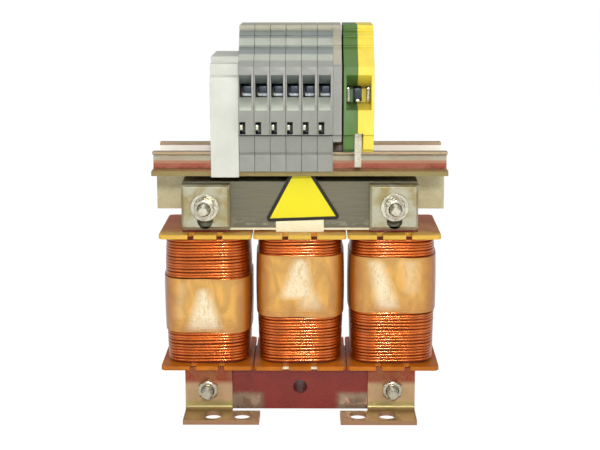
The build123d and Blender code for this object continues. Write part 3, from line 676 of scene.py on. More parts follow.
# Rings of the inner layers, and how far they lie inside the wire's outside in diameters of the wire
SHELL_ROWS = 24
SHELL_INSET = 0.75

# How far a turn may lie inside or outside of its place, in mm
TURN_STRAY = (-0.12, 0.05)


def coil_plan(angle, half_x, half_y, side_bow, front_bow):
    """Plan of one turn: the radius at each angle is the -1/n power of the sum of the n-th powers
    of |cos| / half width and |sin| / half depth, and then each side is pushed out by a parabola."""
    cosine, sine = np.cos(angle), np.sin(angle)
    power = (np.abs(cosine) / half_x) ** SQUARENESS + (np.abs(sine) / half_y) ** SQUARENESS
    radius = power ** (-1 / SQUARENESS)
    x, y = radius * cosine, radius * sine
    across, along = x / half_x, y / half_y
    x = x + side_bow * across * np.clip(1 - along ** 2, 0, 1)
    y = y + front_bow * along * np.clip(1 - across ** 2, 0, 1)
    return x, y


def barrel(share):
    """How far the coil swells at a share of its height: a constant plus a sine, with the share bent
    by a power so that the coil swells least at its ends and most above the middle."""
    return 0.55 + 0.45 * np.sin(pi * np.clip(1 - share, 0, 1) ** 0.8)


def coil_frame(coil):
    """Middle, floor, height and half sizes of a winding."""
    low, high = box_of(f"winding_{coil}")
    middle = (low + high) / 2
    return middle, low[2], high[2] - low[2], (high[0] - low[0]) / 2, (high[1] - low[1]) / 2


def wire_points(settings, coil, seed):
    """Centre line of the wire as a helix: its height grows with the turn, with slow sine waves that
    crowd and part the turns, and its plan is the coil plan inset by half the wire."""
    middle, floor, height, half_x, half_y = coil_frame(coil)
    random = np.random.default_rng(seed)
    wire = settings.wire / 2
    pitch = (height - 2 * wire) / settings.turns
    turn = np.arange(settings.turns * PLAN_POINTS + 1) / PLAN_POINTS
    angle = 2 * pi * turn + pi / 2
    share = turn / settings.turns
    waves = np.zeros_like(turn)
    for lobes, weight in ((1, 0.5), (2, 0.3), (3, 0.2)):
        phase = random.uniform(0, 2 * pi, 3)
        waves += weight * np.sin(lobes * angle + phase[0] + 2.2 * np.sin(turn * 0.9 + phase[1]))
        waves += weight * np.sin(turn * 1.3 * lobes + phase[2])
    fade = np.clip(np.minimum(turn, settings.turns - turn) / 2, 0, 1)
    z = floor + wire + pitch * turn + settings.unevenness * waves * fade
    z = np.clip(z, floor + wire, floor + height - wire)
    strays = random.uniform(*TURN_STRAY, settings.turns + 1)
    proud = np.interp(turn, np.arange(settings.turns + 1), strays) * MM
    x, y = coil_plan(angle, half_x - wire + proud, half_y - wire + proud,
                     settings.side_bow * barrel(share), settings.front_bow)
    return np.stack([middle[0] + x, middle[1] + y, z], axis=-1), wire


def tube_along(path, radius):
    """Tube round a path that stays nearly level: each ring is the path point plus the cosine of its
    outward direction in plan and the sine of the upward one."""
    forward = np.gradient(path, axis=0)
    forward[:, 2] = 0
    forward /= np.linalg.norm(forward, axis=1, keepdims=True)
    outward = np.stack([forward[:, 1], -forward[:, 0], np.zeros(len(path))], axis=-1)
    ring = 2 * pi * np.arange(WIRE_POINTS) / WIRE_POINTS
    up = np.array([0.0, 0.0, 1.0])
    return (path[:, None, :] + radius * np.cos(ring)[None, :, None] * outward[:, None, :]
            + radius * np.sin(ring)[None, :, None] * up[None, None, :])


def winding_shell(settings, coil):
    """Inner layers as one block: an outer wall at the middle of the wire, and a bore round the
    bobbin's tube, whose square plan is the cosine and sine over the larger of the two."""
    middle, floor, height, half_x, half_y = coil_frame(coil)
    tube_low, tube_high = bobbin_tube(coil)
    share = np.linspace(0, 1, SHELL_ROWS)
    angle = 2 * pi * np.arange(PLAN_POINTS) / PLAN_POINTS
    inset = SHELL_INSET * settings.wire
    rows = []
    for part in share:
        x, y = coil_plan(angle, half_x - inset, half_y - inset,
                         settings.side_bow * barrel(part), settings.front_bow)
        level = np.full_like(x, floor + height * part)
        rows.append(np.stack([middle[0] + x, middle[1] + y, level], axis=-1))
    half_bore = (tube_high - tube_low) / 2
    bore_middle = (tube_high + tube_low) / 2
    scale = np.maximum(np.abs(np.cos(angle)), np.abs(np.sin(angle)))
    for part in (1, 0):
        x = bore_middle[0] + half_bore[0] * np.cos(angle) / scale
        y = bore_middle[1] + half_bore[1] * np.sin(angle) / scale
        rows.append(np.stack([x, y, np.full_like(x, floor + height * part)], axis=-1))
    return np.array(rows)


TUBE_HALF_WIDTH = 11.4 * MM
TUBE_WALL = 2.0 * MM


def bobbin_tube(coil):
    """Outside of a bobbin's tube, a little larger than the leg in it."""
    core_low, core_high = box_of("core_e_stack")
    low, high = box_of(f"bobbin_{coil}")
    middle = (low[0] + high[0]) / 2
    half_y = (core_high[1] - core_low[1]) / 2 + TUBE_WALL
    return np.array([middle - TUBE_HALF_WIDTH, -half_y]), np.array([middle + TUBE_HALF_WIDTH, half_y])


TAPE_ROWS = 80

# Width of a streak's soft edge in mm, and of its soft ends as a share of the band
GLINT_EDGE = 4.2
GLINT_END = 0.1

# Painted highlights on the tape, as soft streaks on the front: middle of the streak at its top and at its
# foot and its half width at both, in mm, its foot and top as shares of the band, its strength
TAPE_GLINTS = {
    "left": ((-1.0, -1.0, 1.2, 7.5, 0.02, 0.86, 1.0), (-9.5, -14.0, 1.5, 2.5, 0.2, 0.98, 0.22)),
    "centre": ((0.5, -1.5, 2.0, 7.0, 0.28, 0.98, 0.95), (3.0, 5.0, 2.5, 5.5, 0.08, 0.5, 0.55)),
    "right": ((-8.0, -2.0, 2.2, 4.5, 0.04, 0.98, 0.95), (6.5, 8.0, 3.5, 2.0, 0.3, 0.98, 0.4)),
}


def painted_tape_glint(coil, band):
    """How much painted highlight lies on each point of a tape band, on its front only: each streak is a
    product of soft steps from its slanted middle line and from its foot and top, and the strongest streak
    counts."""
    middle = coil_frame(coil)[0]
    x = (band[..., 0] - middle[0]) / MM
    low, high = band[..., 2].min(), band[..., 2].max()
    share = (band[..., 2] - low) / (high - low)
    air = np.zeros_like(x)
    for top_x, foot_x, top_half, foot_half, foot, top, strength in TAPE_GLINTS[coil]:
        reach = np.clip((top - share) / (top - foot), 0, 1)
        line = top_x + (foot_x - top_x) * reach
        half = top_half + (foot_half - top_half) * reach
        beside = np.clip((half + GLINT_EDGE / 2 - np.abs(x - line)) / GLINT_EDGE, 0, 1)
        ends = np.clip((share - foot) / GLINT_END, 0, 1) * np.clip((top - share) / GLINT_END, 0, 1)
        air = np.maximum(air, strength * beside * ends)
    # The painted highlight lies on the front half of the band only
    return air * (band[..., 1] < 0)


# How strongly the wire's colour shows through the tape over its ridges, and how strongly painted shade
# darkens its corners and sides
RIDGE_SHOWS = 0.45
CORNER_SHADE = 0.8
SIDE_SHADE = 0.9


def wire_ridges_and_painted_shade(coil, band, showing):
    """How much of the wire shows at each point of a tape band, and how much painted shade darkens it: the
    largest of its ridge, where the wire shows, of a soft step of the product of the cubes of its shares of
    the half width and half depth, which is large at the corners, and of a soft step of its share of the half
    width, both of them painted shade."""
    middle, _, _, half_x, half_y = coil_frame(coil)
    across = np.abs(band[..., 0] - middle[0]) / half_x
    along = np.abs(band[..., 1] - middle[1]) / half_y
    ridges = np.concatenate([showing, showing[::-1]])[:, None]
    corners = np.clip((np.minimum(across, 1) ** 3 * np.minimum(along, 1) ** 3 - 0.3) / 0.4, 0, 1)
    sides = np.clip((across - 0.86) / 0.14, 0, 1)
    return np.maximum(RIDGE_SHOWS * ridges, np.maximum(CORNER_SHADE * corners, SIDE_SHADE * sides))


def tape_surface(settings, coil):
    """Tape band: outer and inner wall of the coil plan at each height, ridged by the turns below it,
    which show through over its lowest 30% and, half as much, its top 7%. Its rims waver by two sine
    waves of the angle."""
    middle, floor, height, half_x, half_y = coil_frame(coil)
    low, high = box_of(f"coil_tape_{coil}")
    thickness = (high[0] - low[0]) / 2 - half_x
    angle = 2 * pi * np.arange(PLAN_POINTS * 2) / (PLAN_POINTS * 2)
    rise = np.linspace(low[2], high[2], TAPE_ROWS)
    pitch = (height - settings.wire) / settings.turns
    share = (rise - low[2]) / (high[2] - low[2])
    showing = np.clip(1 - share / 0.3, 0, 1) + 0.5 * np.clip((share - 0.93) / 0.07, 0, 1)
    wave = 0.5 + 0.5 * np.cos(2 * pi * (rise - floor - settings.wire / 2) / pitch)
    ridge = settings.tape_ridge * showing * (wave - 1)
    waver = 0.15 * MM * np.sin(3 * angle + 1.0) + 0.1 * MM * np.sin(7 * angle)
    outer = []
    for z, part, lift in zip(rise, (rise - floor) / height, ridge):
        offset = thickness + lift
        x, y = coil_plan(angle, half_x + offset, half_y + offset,
                         settings.side_bow * barrel(part), settings.front_bow)
        near_rim = 2 * abs(0.5 - (z - low[2]) / (high[2] - low[2]))
        outer.append(np.stack([middle[0] + x, middle[1] + y, z + waver * near_rim], axis=-1))
    outer = np.array(outer)
    inner = outer[::-1].copy()
    centre = np.array([middle[0], middle[1], 0])
    away = inner - centre
    away[..., 2] = 0
    away /= np.linalg.norm(away, axis=-1, keepdims=True)
    inner -= away * 1.2 * thickness
    return np.concatenate([outer, inner]), showing


# Shapes of the fasteners, whose axis is the Y direction

ROUND_POINTS = 48
THREAD_PITCH = 0.8 * MM
THREAD_DEPTH = 0.35 * MM
THREAD_ROWS = 8
TIP_CHAMFER = 0.75 * MM
WASHER_ROUNDING = 0.2
BOLT_LENGTH_DIFFERENCE = 5.0 * MM
BOLT_PLAY = 0.05 * MM
THREAD_OVERLAP = 0.2 * MM
HEAD_OVERLAP = 0.1 * MM


def about_bolt(radius, y, x, z):
    """Surface round a bolt: each row has a radius at every angle and a depth y."""
    angle = 2 * pi * np.arange(ROUND_POINTS) / ROUND_POINTS
    radius = np.broadcast_to(radius, (len(y), ROUND_POINTS))
    depth = np.broadcast_to(y[:, None], radius.shape)
    return np.stack([x + radius * np.cos(angle), depth, z + radius * np.sin(angle)], axis=-1)


def hexagon(across):
    """Radius of a hexagon at each angle: half the width across flats over the cosine of the angle
    from the nearest flat."""
    angle = 2 * pi * np.arange(ROUND_POINTS) / ROUND_POINTS + pi / 6
    return across / 2 / np.cos((angle % (pi / 3)) - pi / 6)


def nut(x, z, seat, across, bore, height):
    """Chamfered hexagon nut as a closed ring: the hexagon's radius, never more than that of a cone
    at each end, and a bore with a countersink."""
    flat = across / 2
    drop = 0.12 * height
    cone = np.array([0.92, 1.0, 1.08, 1.2, 1.2, 1.08, 1.0, 0.92]) * flat
    level = np.array([0, 0.28, 0.62, 1.3])
    outer_y = np.concatenate([seat - height + level * drop, (seat - level * drop)[::-1]])
    outer = np.minimum(hexagon(across)[None, :], cone[:, None])
    inner_y = np.array([seat, seat - 0.1 * height, seat - 0.9 * height, seat - height])
    inner = np.array([1.18, 1.0, 1.0, 1.18])[:, None] * np.full(ROUND_POINTS, bore / 2)
    return about_bolt(np.concatenate([outer, inner]), np.concatenate([outer_y, inner_y]), x, z)


def washer(x, z, back, outer, bore, thickness):
    """Flat ring with slightly rounded rims, as a closed loop of radii and depths."""
    edge = WASHER_ROUNDING * thickness
    near = [(bore / 2, edge), (bore / 2 + edge, 0), (outer / 2 - edge, 0), (outer / 2, edge)]
    far = [(radius, thickness - depth) for radius, depth in reversed(near)]
    radii, depths = np.array(near + far).T
    return about_bolt(radii[:, None] * np.ones(ROUND_POINTS), back - depths, x, z)


def stud(x, z, tip, end, diameter):
    """Threaded end of a bolt: the radius falls from the crest to the root with a triangle wave of
    the depth and the angle, which makes the helix, and a cone limits it at the tip."""
    rows = int((end - tip) / THREAD_PITCH * THREAD_ROWS)
    y = np.linspace(tip, end, rows)
    angle = 2 * pi * np.arange(ROUND_POINTS) / ROUND_POINTS
    phase = (y[:, None] / THREAD_PITCH + angle[None, :] / (2 * pi)) % 1.0
    radius = diameter / 2 - THREAD_DEPTH * np.abs(2 * phase - 1)
    limit = diameter / 2 - TIP_CHAMFER + (y - tip)[:, None]
    return about_bolt(np.minimum(radius, limit), y, x, z)


def spring_ring(x, z, back, outer, bore, thickness):
    """Split spring washer: a rectangular section carried round the bolt, with its ends a little
    apart at the top and the helix rising by a fifth of its thickness."""
    turn = np.linspace(0.03, 0.97, ROUND_POINTS)
    angle = pi / 2 + 2 * pi * turn
    rise = 0.2 * thickness * (turn - 0.5)
    corners = ((bore / 2, 0.1), (outer / 2, 0.1), (outer / 2, 0.9), (bore / 2, 0.9))
    rows = [np.stack([x + radius * np.cos(angle), back - thickness * share + rise,
                      z + radius * np.sin(angle)], axis=-1) for radius, share in corners]
    return np.stack(rows, axis=1)


def bolt_head(x, z, seat, across, height):
    """Hexagon head with a domed top: the hexagon's radius, never more than that of a cone."""
    level = np.array([0, 0.08, 0.8, 0.88, 0.95, 1.0]) * height
    cone = np.array([1.2, 1.2, 1.2, 1.08, 1.0, 0.93]) * across / 2
    return about_bolt(np.minimum(hexagon(across)[None, :], cone[:, None]), seat + level, x, z)


def lower_tip():
    """Front end of the lower bolts: as far behind the upper ones as the two bolt lengths differ."""
    return box_of("tie_bolts")[0][1] + BOLT_LENGTH_DIFFERENCE


# Operators

class REACTOR_OT_coils(bpy.types.Operator):
    """Wind the three coils turn by turn, over their inner layers"""
    bl_idname = "reactor.coils"
    bl_label = "Wind Coils"

    def execute(self, context):
        settings = context.scene.reactor_coils
        colours = context.scene.reactor_colours
        outer, inner = enamelled_copper(colours), inner_copper(colours)
        for seed, coil in enumerate(COILS, FIRST_SEED):
            path, radius = wire_points(settings, coil, seed)
            add_piece(f"wire_turns_{coil}", capped(tube_along(path, radius)), outer,
                      [f"winding_{coil}"], sharp=80)
            shell = capped(winding_shell(settings, coil), True)
            add_piece(f"inner_layers_{coil}", shell, inner)
        return {"FINISHED"}


class REACTOR_OT_tapes(bpy.types.Operator):
    """Wrap the amber tape round the three coils"""
    bl_idname = "reactor.tapes"
    bl_label = "Wrap Tapes"

    def execute(self, context):
        settings = context.scene.reactor_coils
        material = amber_tape(context.scene.reactor_colours)
        for coil in COILS:
            band, showing = tape_surface(settings, coil)
            piece = add_piece(f"tape_band_{coil}", capped(band, True), material,
                              [f"coil_tape_{coil}"], sharp=60)
            store_attribute(piece, "painted_tape_glint", painted_tape_glint(coil, band))
            store_attribute(piece, "wire_and_painted_shade", wire_ridges_and_painted_shade(coil, band, showing))
        return {"FINISHED"}


class REACTOR_OT_bobbins(bpy.types.Operator):
    """Finish the three bobbins in amber polyamide with rounded edges"""
    bl_idname = "reactor.bobbins"
    bl_label = "Finish Bobbins"

    def execute(self, context):
        material = amber_polyamide(context.scene.reactor_colours)
        for coil in COILS:
            edged_copy(f"bobbin_{coil}", f"moulded_bobbin_{coil}", context.scene.reactor_edges.bobbin,
                       material, segments=3)
        return {"FINISHED"}


class REACTOR_OT_core(bpy.types.Operator):
    """Finish the core, its air gap sheet and the strip on the centre leg"""
    bl_idname = "reactor.core"
    bl_label = "Finish Core"

    def execute(self, context):
        colours = context.scene.reactor_colours
        width = context.scene.reactor_edges.steel
        edged_copy("core_e_stack", "red_reflection_painted_core", width, laminations_painted_red_reflection(colours))
        edged_copy("upper_yoke", "bare_yoke", width, bare_laminations(colours))
        board = pressboard(colours)
        assign("air_gap_sheet", board)
        assign("centre_leg_strip", board)
        return {"FINISHED"}


# Depth within which the feet stay once their edges are rounded
FOOT_REACH = 31.98 * MM

# Half sizes of the slot in a clamp plate, and how far its top and foot move down
SLOT_HALF_WIDTH = 3.4 * MM
SLOT_HALF_LENGTH = 8.2 * MM
SLOT_TOP_DROP = 3.0 * MM
SLOT_FOOT_DROP = 1.2 * MM


class REACTOR_OT_sheet_metal(bpy.types.Operator):
    """Finish the feet, clamp plates, rail carrier and rail"""
    bl_idname = "reactor.sheet_metal"
    bl_label = "Finish Sheet Metal"

    def execute(self, context):
        colours = context.scene.reactor_colours
        width = context.scene.reactor_edges.steel
        foot = plated_foot(colours)
        plate = plated_plate(colours)
        for node in FEET:
            piece = edged_copy(node, f"plated_{node}", width, foot)
            for vertex in piece.data.vertices:
                vertex.co.y = max(min(vertex.co.y, FOOT_REACH), -FOOT_REACH)
        for (x, z), node in zip(upper_bolts(), ("clamp_plate_left", "clamp_plate_right")):
            piece = edged_copy(node, f"plated_{node}", width, plate)
            for vertex in piece.data.vertices:
                up = vertex.co.z - z
                if abs(vertex.co.x - x) < SLOT_HALF_WIDTH and abs(up) < SLOT_HALF_LENGTH:
                    vertex.co.z -= SLOT_TOP_DROP if up > 0 else SLOT_FOOT_DROP
        edged_copy("rail_carrier", "plated_rail_carrier", width, plated_carrier(colours))
        edged_copy("mounting_rail", "plated_mounting_rail", width, plated_rail(colours))
        return {"FINISHED"}


class REACTOR_OT_fasteners(bpy.types.Operator):
    """Make the bolts, washers and nuts, and finish the rail's screws and the sleeves"""
    bl_idname = "reactor.fasteners"
    bl_label = "Make Fasteners"

    def execute(self, context):
        sizes = context.scene.reactor_fasteners
        plated = bright_plating(context.scene.reactor_colours)
        flat = (sizes.washer, sizes.bore, sizes.washer_thickness)
        split = (sizes.spring, sizes.bore, sizes.spring_thickness)
        back = box_of("foot_back_left")[0][1] + SHEET + sizes.washer_thickness
        rows = ((upper_bolts(), box_of("clamp_plate_left")[0][1], box_of("tie_bolts")[0][1], True),
                (lower_bolts(), box_of("core_e_stack")[0][1] - SHEET, lower_tip(), False))
        bolts, nuts, flats, springs = [], [], [], []
        for places, seat, tip, with_washers in rows:
            for x, z in places:
                front = seat
                if with_washers:
                    flats.append(capped(washer(x, z, front, *flat), True))
                    front -= sizes.washer_thickness
                    springs.append(capped(spring_ring(x, z, front, *split)))
                    front -= sizes.spring_thickness
                nuts.append(capped(nut(x, z, front, sizes.nut_across, sizes.bolt, sizes.nut_height), True))
                thread_end = front - THREAD_OVERLAP
                bolts.append(capped(stud(x, z, tip, thread_end, sizes.bolt - BOLT_PLAY)))
                shank = np.full((2, 1), sizes.bolt / 2 - BOLT_PLAY)
                bolts.append(capped(about_bolt(shank, np.array([thread_end, back + HEAD_OVERLAP]), x, z)))
                flats.append(capped(washer(x, z, back, *flat), True))
                bolts.append(capped(bolt_head(x, z, back, sizes.nut_across, sizes.head_height)))
        for name, parts, node in (("threaded_bolts", bolts, "tie_bolts"),
                                  ("chamfered_nuts", nuts, "hex_nuts"),
                                  ("plain_washers", flats, "flat_washers"),
                                  ("split_washers", springs, "spring_washers")):
            add_piece(name, joined(parts), plated, [node], sharp=30)
        assign("rail_screws", plated)
        assign("bolt_sleeves", pressboard(context.scene.reactor_colours))
        return {"FINISHED"}


# Openings of a grey housing: how far each reaches from the row's middle, and its lowest and highest
# rise over the rail
POCKET = (20.05 * MM, 20.0 * MM, 31.0 * MM)
TEST_SLOT = (27.8 * MM, 7.5 * MM, 14.4 * MM)
FUNNEL = (27.7 * MM, 18.5 * MM, 34.1 * MM)

# Bands inside a funnel: how far the painted light on its floor and the painted shade on its roof reach into
# it
FUNNEL_SHADE = 5.3 * MM

# Inset of an opening's faces from the sides of its housing
SIDE_WALL = 0.3 * MM
SHOULDER_RISE = 37.4 * MM


def housing_bands(colours):
    """Bands of the grey housings, as rises over the rail: lower front in painted shade, front, a painted
    highlight on the shoulder and on the ridges round the markers, and painted shade in the marker grooves."""
    rises = ((0, colours.housing_low_painted_shade), (21.0, colours.housing), (38.9, colours.housing_painted_highlight),
             (41.2, colours.housing_painted_shade), (44.3, colours.housing_painted_highlight), (47.6, colours.housing_painted_shade),
             (50.6, colours.housing_warm))
    return [(RAIL_TOP + rise * MM, shade) for rise, shade in rises]


def cover_bands(colours):
    """Bands of the end cover: grey below and warmer above the shoulder."""
    return [(0, colours.housing), (RAIL_TOP + SHOULDER_RISE, colours.housing_warm)]


def funnel_bands(colours):
    """Bands inside a wire funnel: its floor is pale with painted light and its roof lies in painted shade.
    """
    _, low, high = FUNNEL
    return [(0, darker(colours.housing_painted_highlight, 1.5)), (RAIL_TOP + low + FUNNEL_SHADE, colours.housing),
            (RAIL_TOP + high - FUNNEL_SHADE, colours.housing_painted_shade)]


def shade_hollows(piece, node, dark, funnel):
    """Gives the inner faces of a housing's clamp pockets and test slots their painted shade, and those of
    its funnels their painted light and shade, from where the middle of each face lies."""
    low, high = box_of(node)
    piece.data.materials.append(dark)
    piece.data.materials.append(funnel)

    def lies_in(centre, opening):
        reach, floor, top = opening
        return abs(centre.y) < reach and RAIL_TOP + floor < centre.z < RAIL_TOP + top

    for face in piece.data.polygons:
        if not low[0] + SIDE_WALL < face.center.x < high[0] - SIDE_WALL:
            continue
        if lies_in(face.center, POCKET) or lies_in(face.center, TEST_SLOT):
            face.material_index = 1
        elif lies_in(face.center, FUNNEL):
            face.material_index = 2


BLOCK_ROWS = 17
BLOCK_POINTS = 32
BLOCK_POWER = 9.0


def block(low, high):
    """Rounded block between two corners: a superellipsoid whose points are the half sizes times the
    signed 2/n powers of the cosines and sines of two angles."""
    rise = np.linspace(-pi / 2, pi / 2, BLOCK_ROWS)[:, None]
    turn = 2 * pi * np.arange(BLOCK_POINTS)[None, :] / BLOCK_POINTS

    def bent(value):
        return np.sign(value) * np.abs(value) ** (2 / BLOCK_POWER)

    unit = np.stack([bent(np.cos(rise)) * bent(np.cos(turn)), bent(np.cos(rise)) * bent(np.sin(turn)),
                     np.broadcast_to(bent(np.sin(rise)), (BLOCK_ROWS, BLOCK_POINTS))], axis=-1)
    return (low + high) / 2 + unit * (high - low) / 2


def both_sides(across, depth, height):
    """The same block at the front and at the back of the row. Each argument is a pair of places, and
    the depths are from the row's middle."""
    blocks = []
    for near, far in ((-depth[1], -depth[0]), depth):
        low = np.array([across[0], near, height[0]])
        high = np.array([across[1], far, height[1]])
        blocks.append(capped(block(low, high)))
    return blocks


# Wire clamps and test contacts of a terminal: their rises over the rail, their depths from the
# row's middle, their widths and how far they stand in from the side of the housing
CLAMP_RISE = (23.6 * MM, 28.2 * MM)
CLAMP_DEPTH = (14.0 * MM, 19.6 * MM)
CLAMP_WIDTH = 3.9 * MM
CLAMP_INSET = 1.0 * MM
CLAMP_EDGE = 1.3 * MM
CONTACT_RISE = (10.4 * MM, 12.7 * MM)
CONTACT_DEPTH = (25.5 * MM, 27.2 * MM)
CONTACT_WIDTH = 1.3 * MM
CONTACT_INSET = 0.45 * MM


def make_clamps(colours):
    """Wire clamps and test contacts: one rounded block of each in every pocket and slot."""
    clamp_height, contact_height = RAIL_TOP + np.array((CLAMP_RISE, CONTACT_RISE))
    clamps, contacts = [], []
    for node in HOUSINGS:
        low, high = box_of(node)
        right = high[0] - CLAMP_INSET
        clamps += both_sides((right - CLAMP_WIDTH, right), CLAMP_DEPTH, clamp_height)
        left = low[0] + CONTACT_INSET
        contacts += both_sides((left, left + CONTACT_WIDTH), CONTACT_DEPTH, contact_height)
    steel = blued_steel(colours, clamp_height[0] + CLAMP_EDGE)
    add_piece("spring_clamps", joined(clamps), steel, ["terminal_clamps"])
    add_piece("test_contacts", joined(contacts), tinned_copper(colours))


# Depth of an earth clamp's face from the row's middle, its walls' thickness and their side inset
EARTH_FACE = 19.8 * MM
EARTH_WALL = 1.5 * MM
EARTH_WALL_INSET = 0.05 * MM
EARTH_TONGUE_HEIGHT = 1.5 * MM

# Parts of an earth clamp in mm: the X of the screw's and the tongue's sides from its middle, how far
# each part's far and near ends lie behind its face, and how far it stands in from the floor and top
EARTH_WALL_ROOM = (6.0, 0.0, 0.3, 0.3)
EARTH_SCREW = (-1.9, 1.4, 6.0, 0.6, 1.0, 0.8)
EARTH_TONGUE = (-1.3, 0.8, 5.8, 0.2, 0.4)


def make_earth_clamps(colours):
    """Cage clamps of the earth terminal: two bright walls and a tongue with a dark screw between."""
    low, high = box_of("pe_clamps")
    middle, half = (low[0] + high[0]) / 2, (high[0] - low[0]) / 2
    face = min(high[1], EARTH_FACE)
    far, near, floor, top = np.array(EARTH_WALL_ROOM) * MM
    cages = []
    for side in (-1, 1):
        wall = middle + side * (half - EARTH_WALL / 2 - EARTH_WALL_INSET)
        cages += both_sides((wall - EARTH_WALL / 2, wall + EARTH_WALL / 2), (face - far, face - near),
                            (low[2] + floor, high[2] - top))
    left, right, far, near, floor = np.array(EARTH_TONGUE) * MM
    cages += both_sides((middle + left, middle + right), (face - far, face - near),
                        (low[2] + floor, low[2] + floor + EARTH_TONGUE_HEIGHT))
    left, right, far, near, floor, top = np.array(EARTH_SCREW) * MM
    screws = both_sides((middle + left, middle + right), (face - far, face - near),
                        (low[2] + floor, high[2] - top))
    add_piece("earth_clamp_cages", joined(cages), bright_plating(colours), ["pe_clamps"])
    add_piece("earth_clamp_screws", joined(screws), blued_steel(colours, low[2]))


class REACTOR_OT_terminals(bpy.types.Operator):
    """Finish the end stop, the grey terminals, their clamps and the end cover"""
    bl_idname = "reactor.terminals"
    bl_label = "Finish Terminals"

    def execute(self, context):
        colours = context.scene.reactor_colours
        width = context.scene.reactor_edges.moulded
        grey = moulded_polyamide("grey_polyamide", housing_bands(colours))
        cover = moulded_polyamide("grey_polyamide_cover", cover_bands(colours))
        # Painted shade for the inner faces of the pockets and slots
        painted_hollow_shade = moulded_polyamide("shaded_polyamide", ((0, colours.painted_hollow_shade),))
        funnel = moulded_polyamide("funnel_polyamide", funnel_bands(colours))
        white = moulded_polyamide("white_polyamide", ((0, colours.stop),))
        green = moulded_polyamide("green_polyamide", ((0, colours.green),))
        yellow = moulded_polyamide("yellow_polyamide", ((0, colours.yellow),))
        for node in HOUSINGS:
            piece = edged_copy(node, f"moulded_{node}", width, grey, flat=False)
            shade_hollows(piece, node, painted_hollow_shade, funnel)
        edged_copy("end_cover", "moulded_end_cover", width, cover)
        edged_copy("end_stop", "moulded_end_stop", width, white)
        edged_copy("pe_housing_green", "moulded_pe_green", width, green)
        edged_copy("pe_housing_yellow", "moulded_pe_yellow", width, yellow)
        make_clamps(colours)
        make_earth_clamps(colours)
        assign("pe_rail_feet", bright_plating(colours))
        assign("current_bars", tinned_copper(colours))
        return {"FINISHED"}


class REACTOR_OT_label(bpy.types.Operator):
    """Finish the blank yellow label with its dark rim"""
    bl_idname = "reactor.label"
    bl_label = "Finish Label"

    def execute(self, context):
        film = printed_film(context.scene.reactor_colours)
        piece = edged_copy("label_plate", "printed_label", FILM_ROUNDING, film)
        for vertex in piece.data.vertices:
            vertex.co.x += LABEL_SHIFT
        return {"FINISHED"}


# Stage, in the photograph's frame

IMAGE_WIDTH = 600
SENSOR = 36.0
FOCAL_PIXELS = 1335.49
CAMERA_PLACE = (5.32 * MM, -573.91 * MM, 195.76 * MM)
CAMERA_PITCH = radians(11.34)
CAMERA_YAW = radians(0.54)
CAMERA_ROLL = radians(-0.08)
CAMERA_CLIP = (0.01, 100)
GLOSSY_LEVEL = 0.45
FLOOR_GLOW = 1.12
FLOOR_SHARE = 0.85

# Places and sizes of the lamps, in metres, and the point that they are turned to
LAMP_AIM = (0, 0, 0.08)
FRONT_LAMP = (0.035, -1.0, 0.42)
FRONT_LAMP_SIZE = 0.08
SOFTBOXES = (
    ("Left softbox", (-0.9, -0.9, 0.8), 0.7),
    ("Right softbox", (0.9, -0.9, 0.8), 0.7),
    ("Top softbox", (0.0, 0.1, 1.3), 0.9),
)


def add_camera(scene):
    """Camera at the photograph's place, looking down by its pitch and turned by its yaw."""
    data = bpy.data.cameras.new("Photo camera")
    data.sensor_width = SENSOR
    data.lens = FOCAL_PIXELS * SENSOR / IMAGE_WIDTH
    data.clip_start, data.clip_end = CAMERA_CLIP
    camera = bpy.data.objects.new("Photo camera", data)
    turned = (Matrix.Rotation(CAMERA_YAW, 4, "Z") @ Matrix.Rotation(pi / 2 - CAMERA_PITCH, 4, "X")
              @ Matrix.Rotation(CAMERA_ROLL, 4, "Z"))
    camera.matrix_world = Matrix.Translation(CAMERA_PLACE) @ turned
    scene.collection.objects.link(camera)
    scene.camera = camera


def add_lamp(scene, name, place, size, power):
    """Square soft lamp at a place, turned towards the object."""
    data = bpy.data.lights.new(name, "AREA")
    data.shape = "SQUARE"
    data.size = size
    data.energy = power
    lamp = bpy.data.objects.new(name, data)
    way = Vector(LAMP_AIM) - Vector(place)
    lamp.matrix_world = Matrix.Translation(place) @ way.to_track_quat("-Z", "Y").to_matrix().to_4x4()
    scene.collection.objects.link(lamp)


def add_world(scene, ambient):
    """White surroundings for the camera, and two calmer levels for gloss and for diffuse light."""
    world = bpy.data.worlds.new("Studio")
    world.use_nodes = True
    tree = world.node_tree
    background = tree.nodes["Background"]
    background.inputs["Color"].default_value = [1, 1, 1, 1]
    camera, glossy, through = [add_node(tree, "LightPath", output=f"Is {ray} Ray")
                               for ray in ("Camera", "Glossy", "Transmission")]
    shiny = add_node(tree, "Math", {0: glossy, 1: through}, operation="MAXIMUM")
    level = add_node(tree, "Mix", {0: shiny, 2: ambient, 3: GLOSSY_LEVEL}, data_type="FLOAT")
    level = add_node(tree, "Mix", {0: camera, 2: level, 3: 1.0}, data_type="FLOAT")
    tree.links.new(level, background.inputs["Strength"])
    scene.world = world


def floor_material():
    """Pale seamless paper: it shows white to the camera and keeps a soft shadow."""
    paper = Finish("seamless_paper", Roughness=0.9)
    paper.link(Base_Color=paper.stained(linear("#f4f4f2"), linear("#fafaf8"), paper.blotches(3 * MM)))
    glow = add_node(paper.tree, "Emission", {"Color": [1, 1, 1, 1], "Strength": FLOOR_GLOW})
    camera = add_node(paper.tree, "LightPath", output="Is Camera Ray")
    seen = add_node(paper.tree, "Math", {0: camera, 1: FLOOR_SHARE}, operation="MULTIPLY")
    surface = add_node(paper.tree, "MixShader", {0: seen, 1: paper.shader.outputs[0], 2: glow})
    paper.tree.links.new(surface, paper.tree.nodes["Material Output"].inputs["Surface"])
    return paper.material


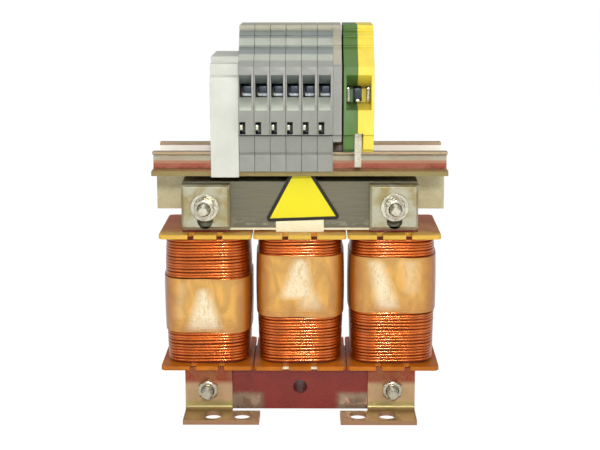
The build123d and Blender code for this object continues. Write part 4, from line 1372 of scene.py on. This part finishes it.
class REACTOR_OT_stage(bpy.types.Operator):
    """Set up the floor, the lamps and the camera"""
    bl_idname = "reactor.stage"
    bl_label = "Set Stage"

    def execute(self, context):
        scene = context.scene
        settings = scene.reactor_stage
        half = settings.floor_size / 2
        mesh = bpy.data.meshes.new("paper_floor")
        corners = np.array([[-half, -half, 0], [half, -half, 0], [half, half, 0], [-half, half, 0]])
        mesh.from_pydata(corners.tolist(), [], [[0, 1, 2, 3]])
        mesh.materials.append(floor_material())
        floor = bpy.data.objects.new("paper_floor", mesh)
        scene.collection.objects.link(floor)
        add_lamp(scene, "Front lamp", FRONT_LAMP, FRONT_LAMP_SIZE, settings.front_power)
        for name, place, size in SOFTBOXES:
            add_lamp(scene, name, place, size, settings.soft_power)
        add_world(scene, settings.ambient)
        add_camera(scene)
        scene.view_settings.view_transform = "Standard"
        return {"FINISHED"}


OPERATORS = (
    REACTOR_OT_core,
    REACTOR_OT_bobbins,
    REACTOR_OT_coils,
    REACTOR_OT_tapes,
    REACTOR_OT_sheet_metal,
    REACTOR_OT_fasteners,
    REACTOR_OT_terminals,
    REACTOR_OT_label,
    REACTOR_OT_stage,
)


class REACTOR_PT_panel(bpy.types.Panel):
    """Lists the settings and the steps in their order"""
    bl_idname = "REACTOR_PT_panel"
    bl_label = "Line Reactor"
    bl_space_type = "VIEW_3D"
    bl_region_type = "UI"
    bl_category = "Reactor"

    def draw(self, context):
        layout = self.layout
        for group in SETTINGS:
            column = layout.column(align=True)
            for name in SETTINGS[group].__annotations__:
                column.prop(getattr(context.scene, group), name)
        for operator in OPERATORS:
            layout.operator(operator.bl_idname)


SETTINGS = {
    "reactor_coils": ReactorCoilSettings,
    "reactor_fasteners": ReactorFastenerSettings,
    "reactor_edges": ReactorEdgeSettings,
    "reactor_colours": ReactorColours,
    "reactor_stage": ReactorStageSettings,
}


def register():
    """Registers the settings, the steps and the panel."""
    for cls in (*SETTINGS.values(), *OPERATORS, REACTOR_PT_panel):
        bpy.utils.register_class(cls)
    for name, group in SETTINGS.items():
        setattr(bpy.types.Scene, name, bpy.props.PointerProperty(type=group))


def unregister():
    """Takes them out again, in the opposite order."""
    for name in SETTINGS:
        delattr(bpy.types.Scene, name)
    for cls in reversed((*SETTINGS.values(), *OPERATORS, REACTOR_PT_panel)):
        bpy.utils.unregister_class(cls)


def main():
    """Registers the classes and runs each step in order."""
    register()
    for operator in OPERATORS:
        group, name = operator.bl_idname.split(".")
        getattr(getattr(bpy.ops, group), name)()
    bpy.context.view_layer.update()


if __name__ == "__main__":
    main()
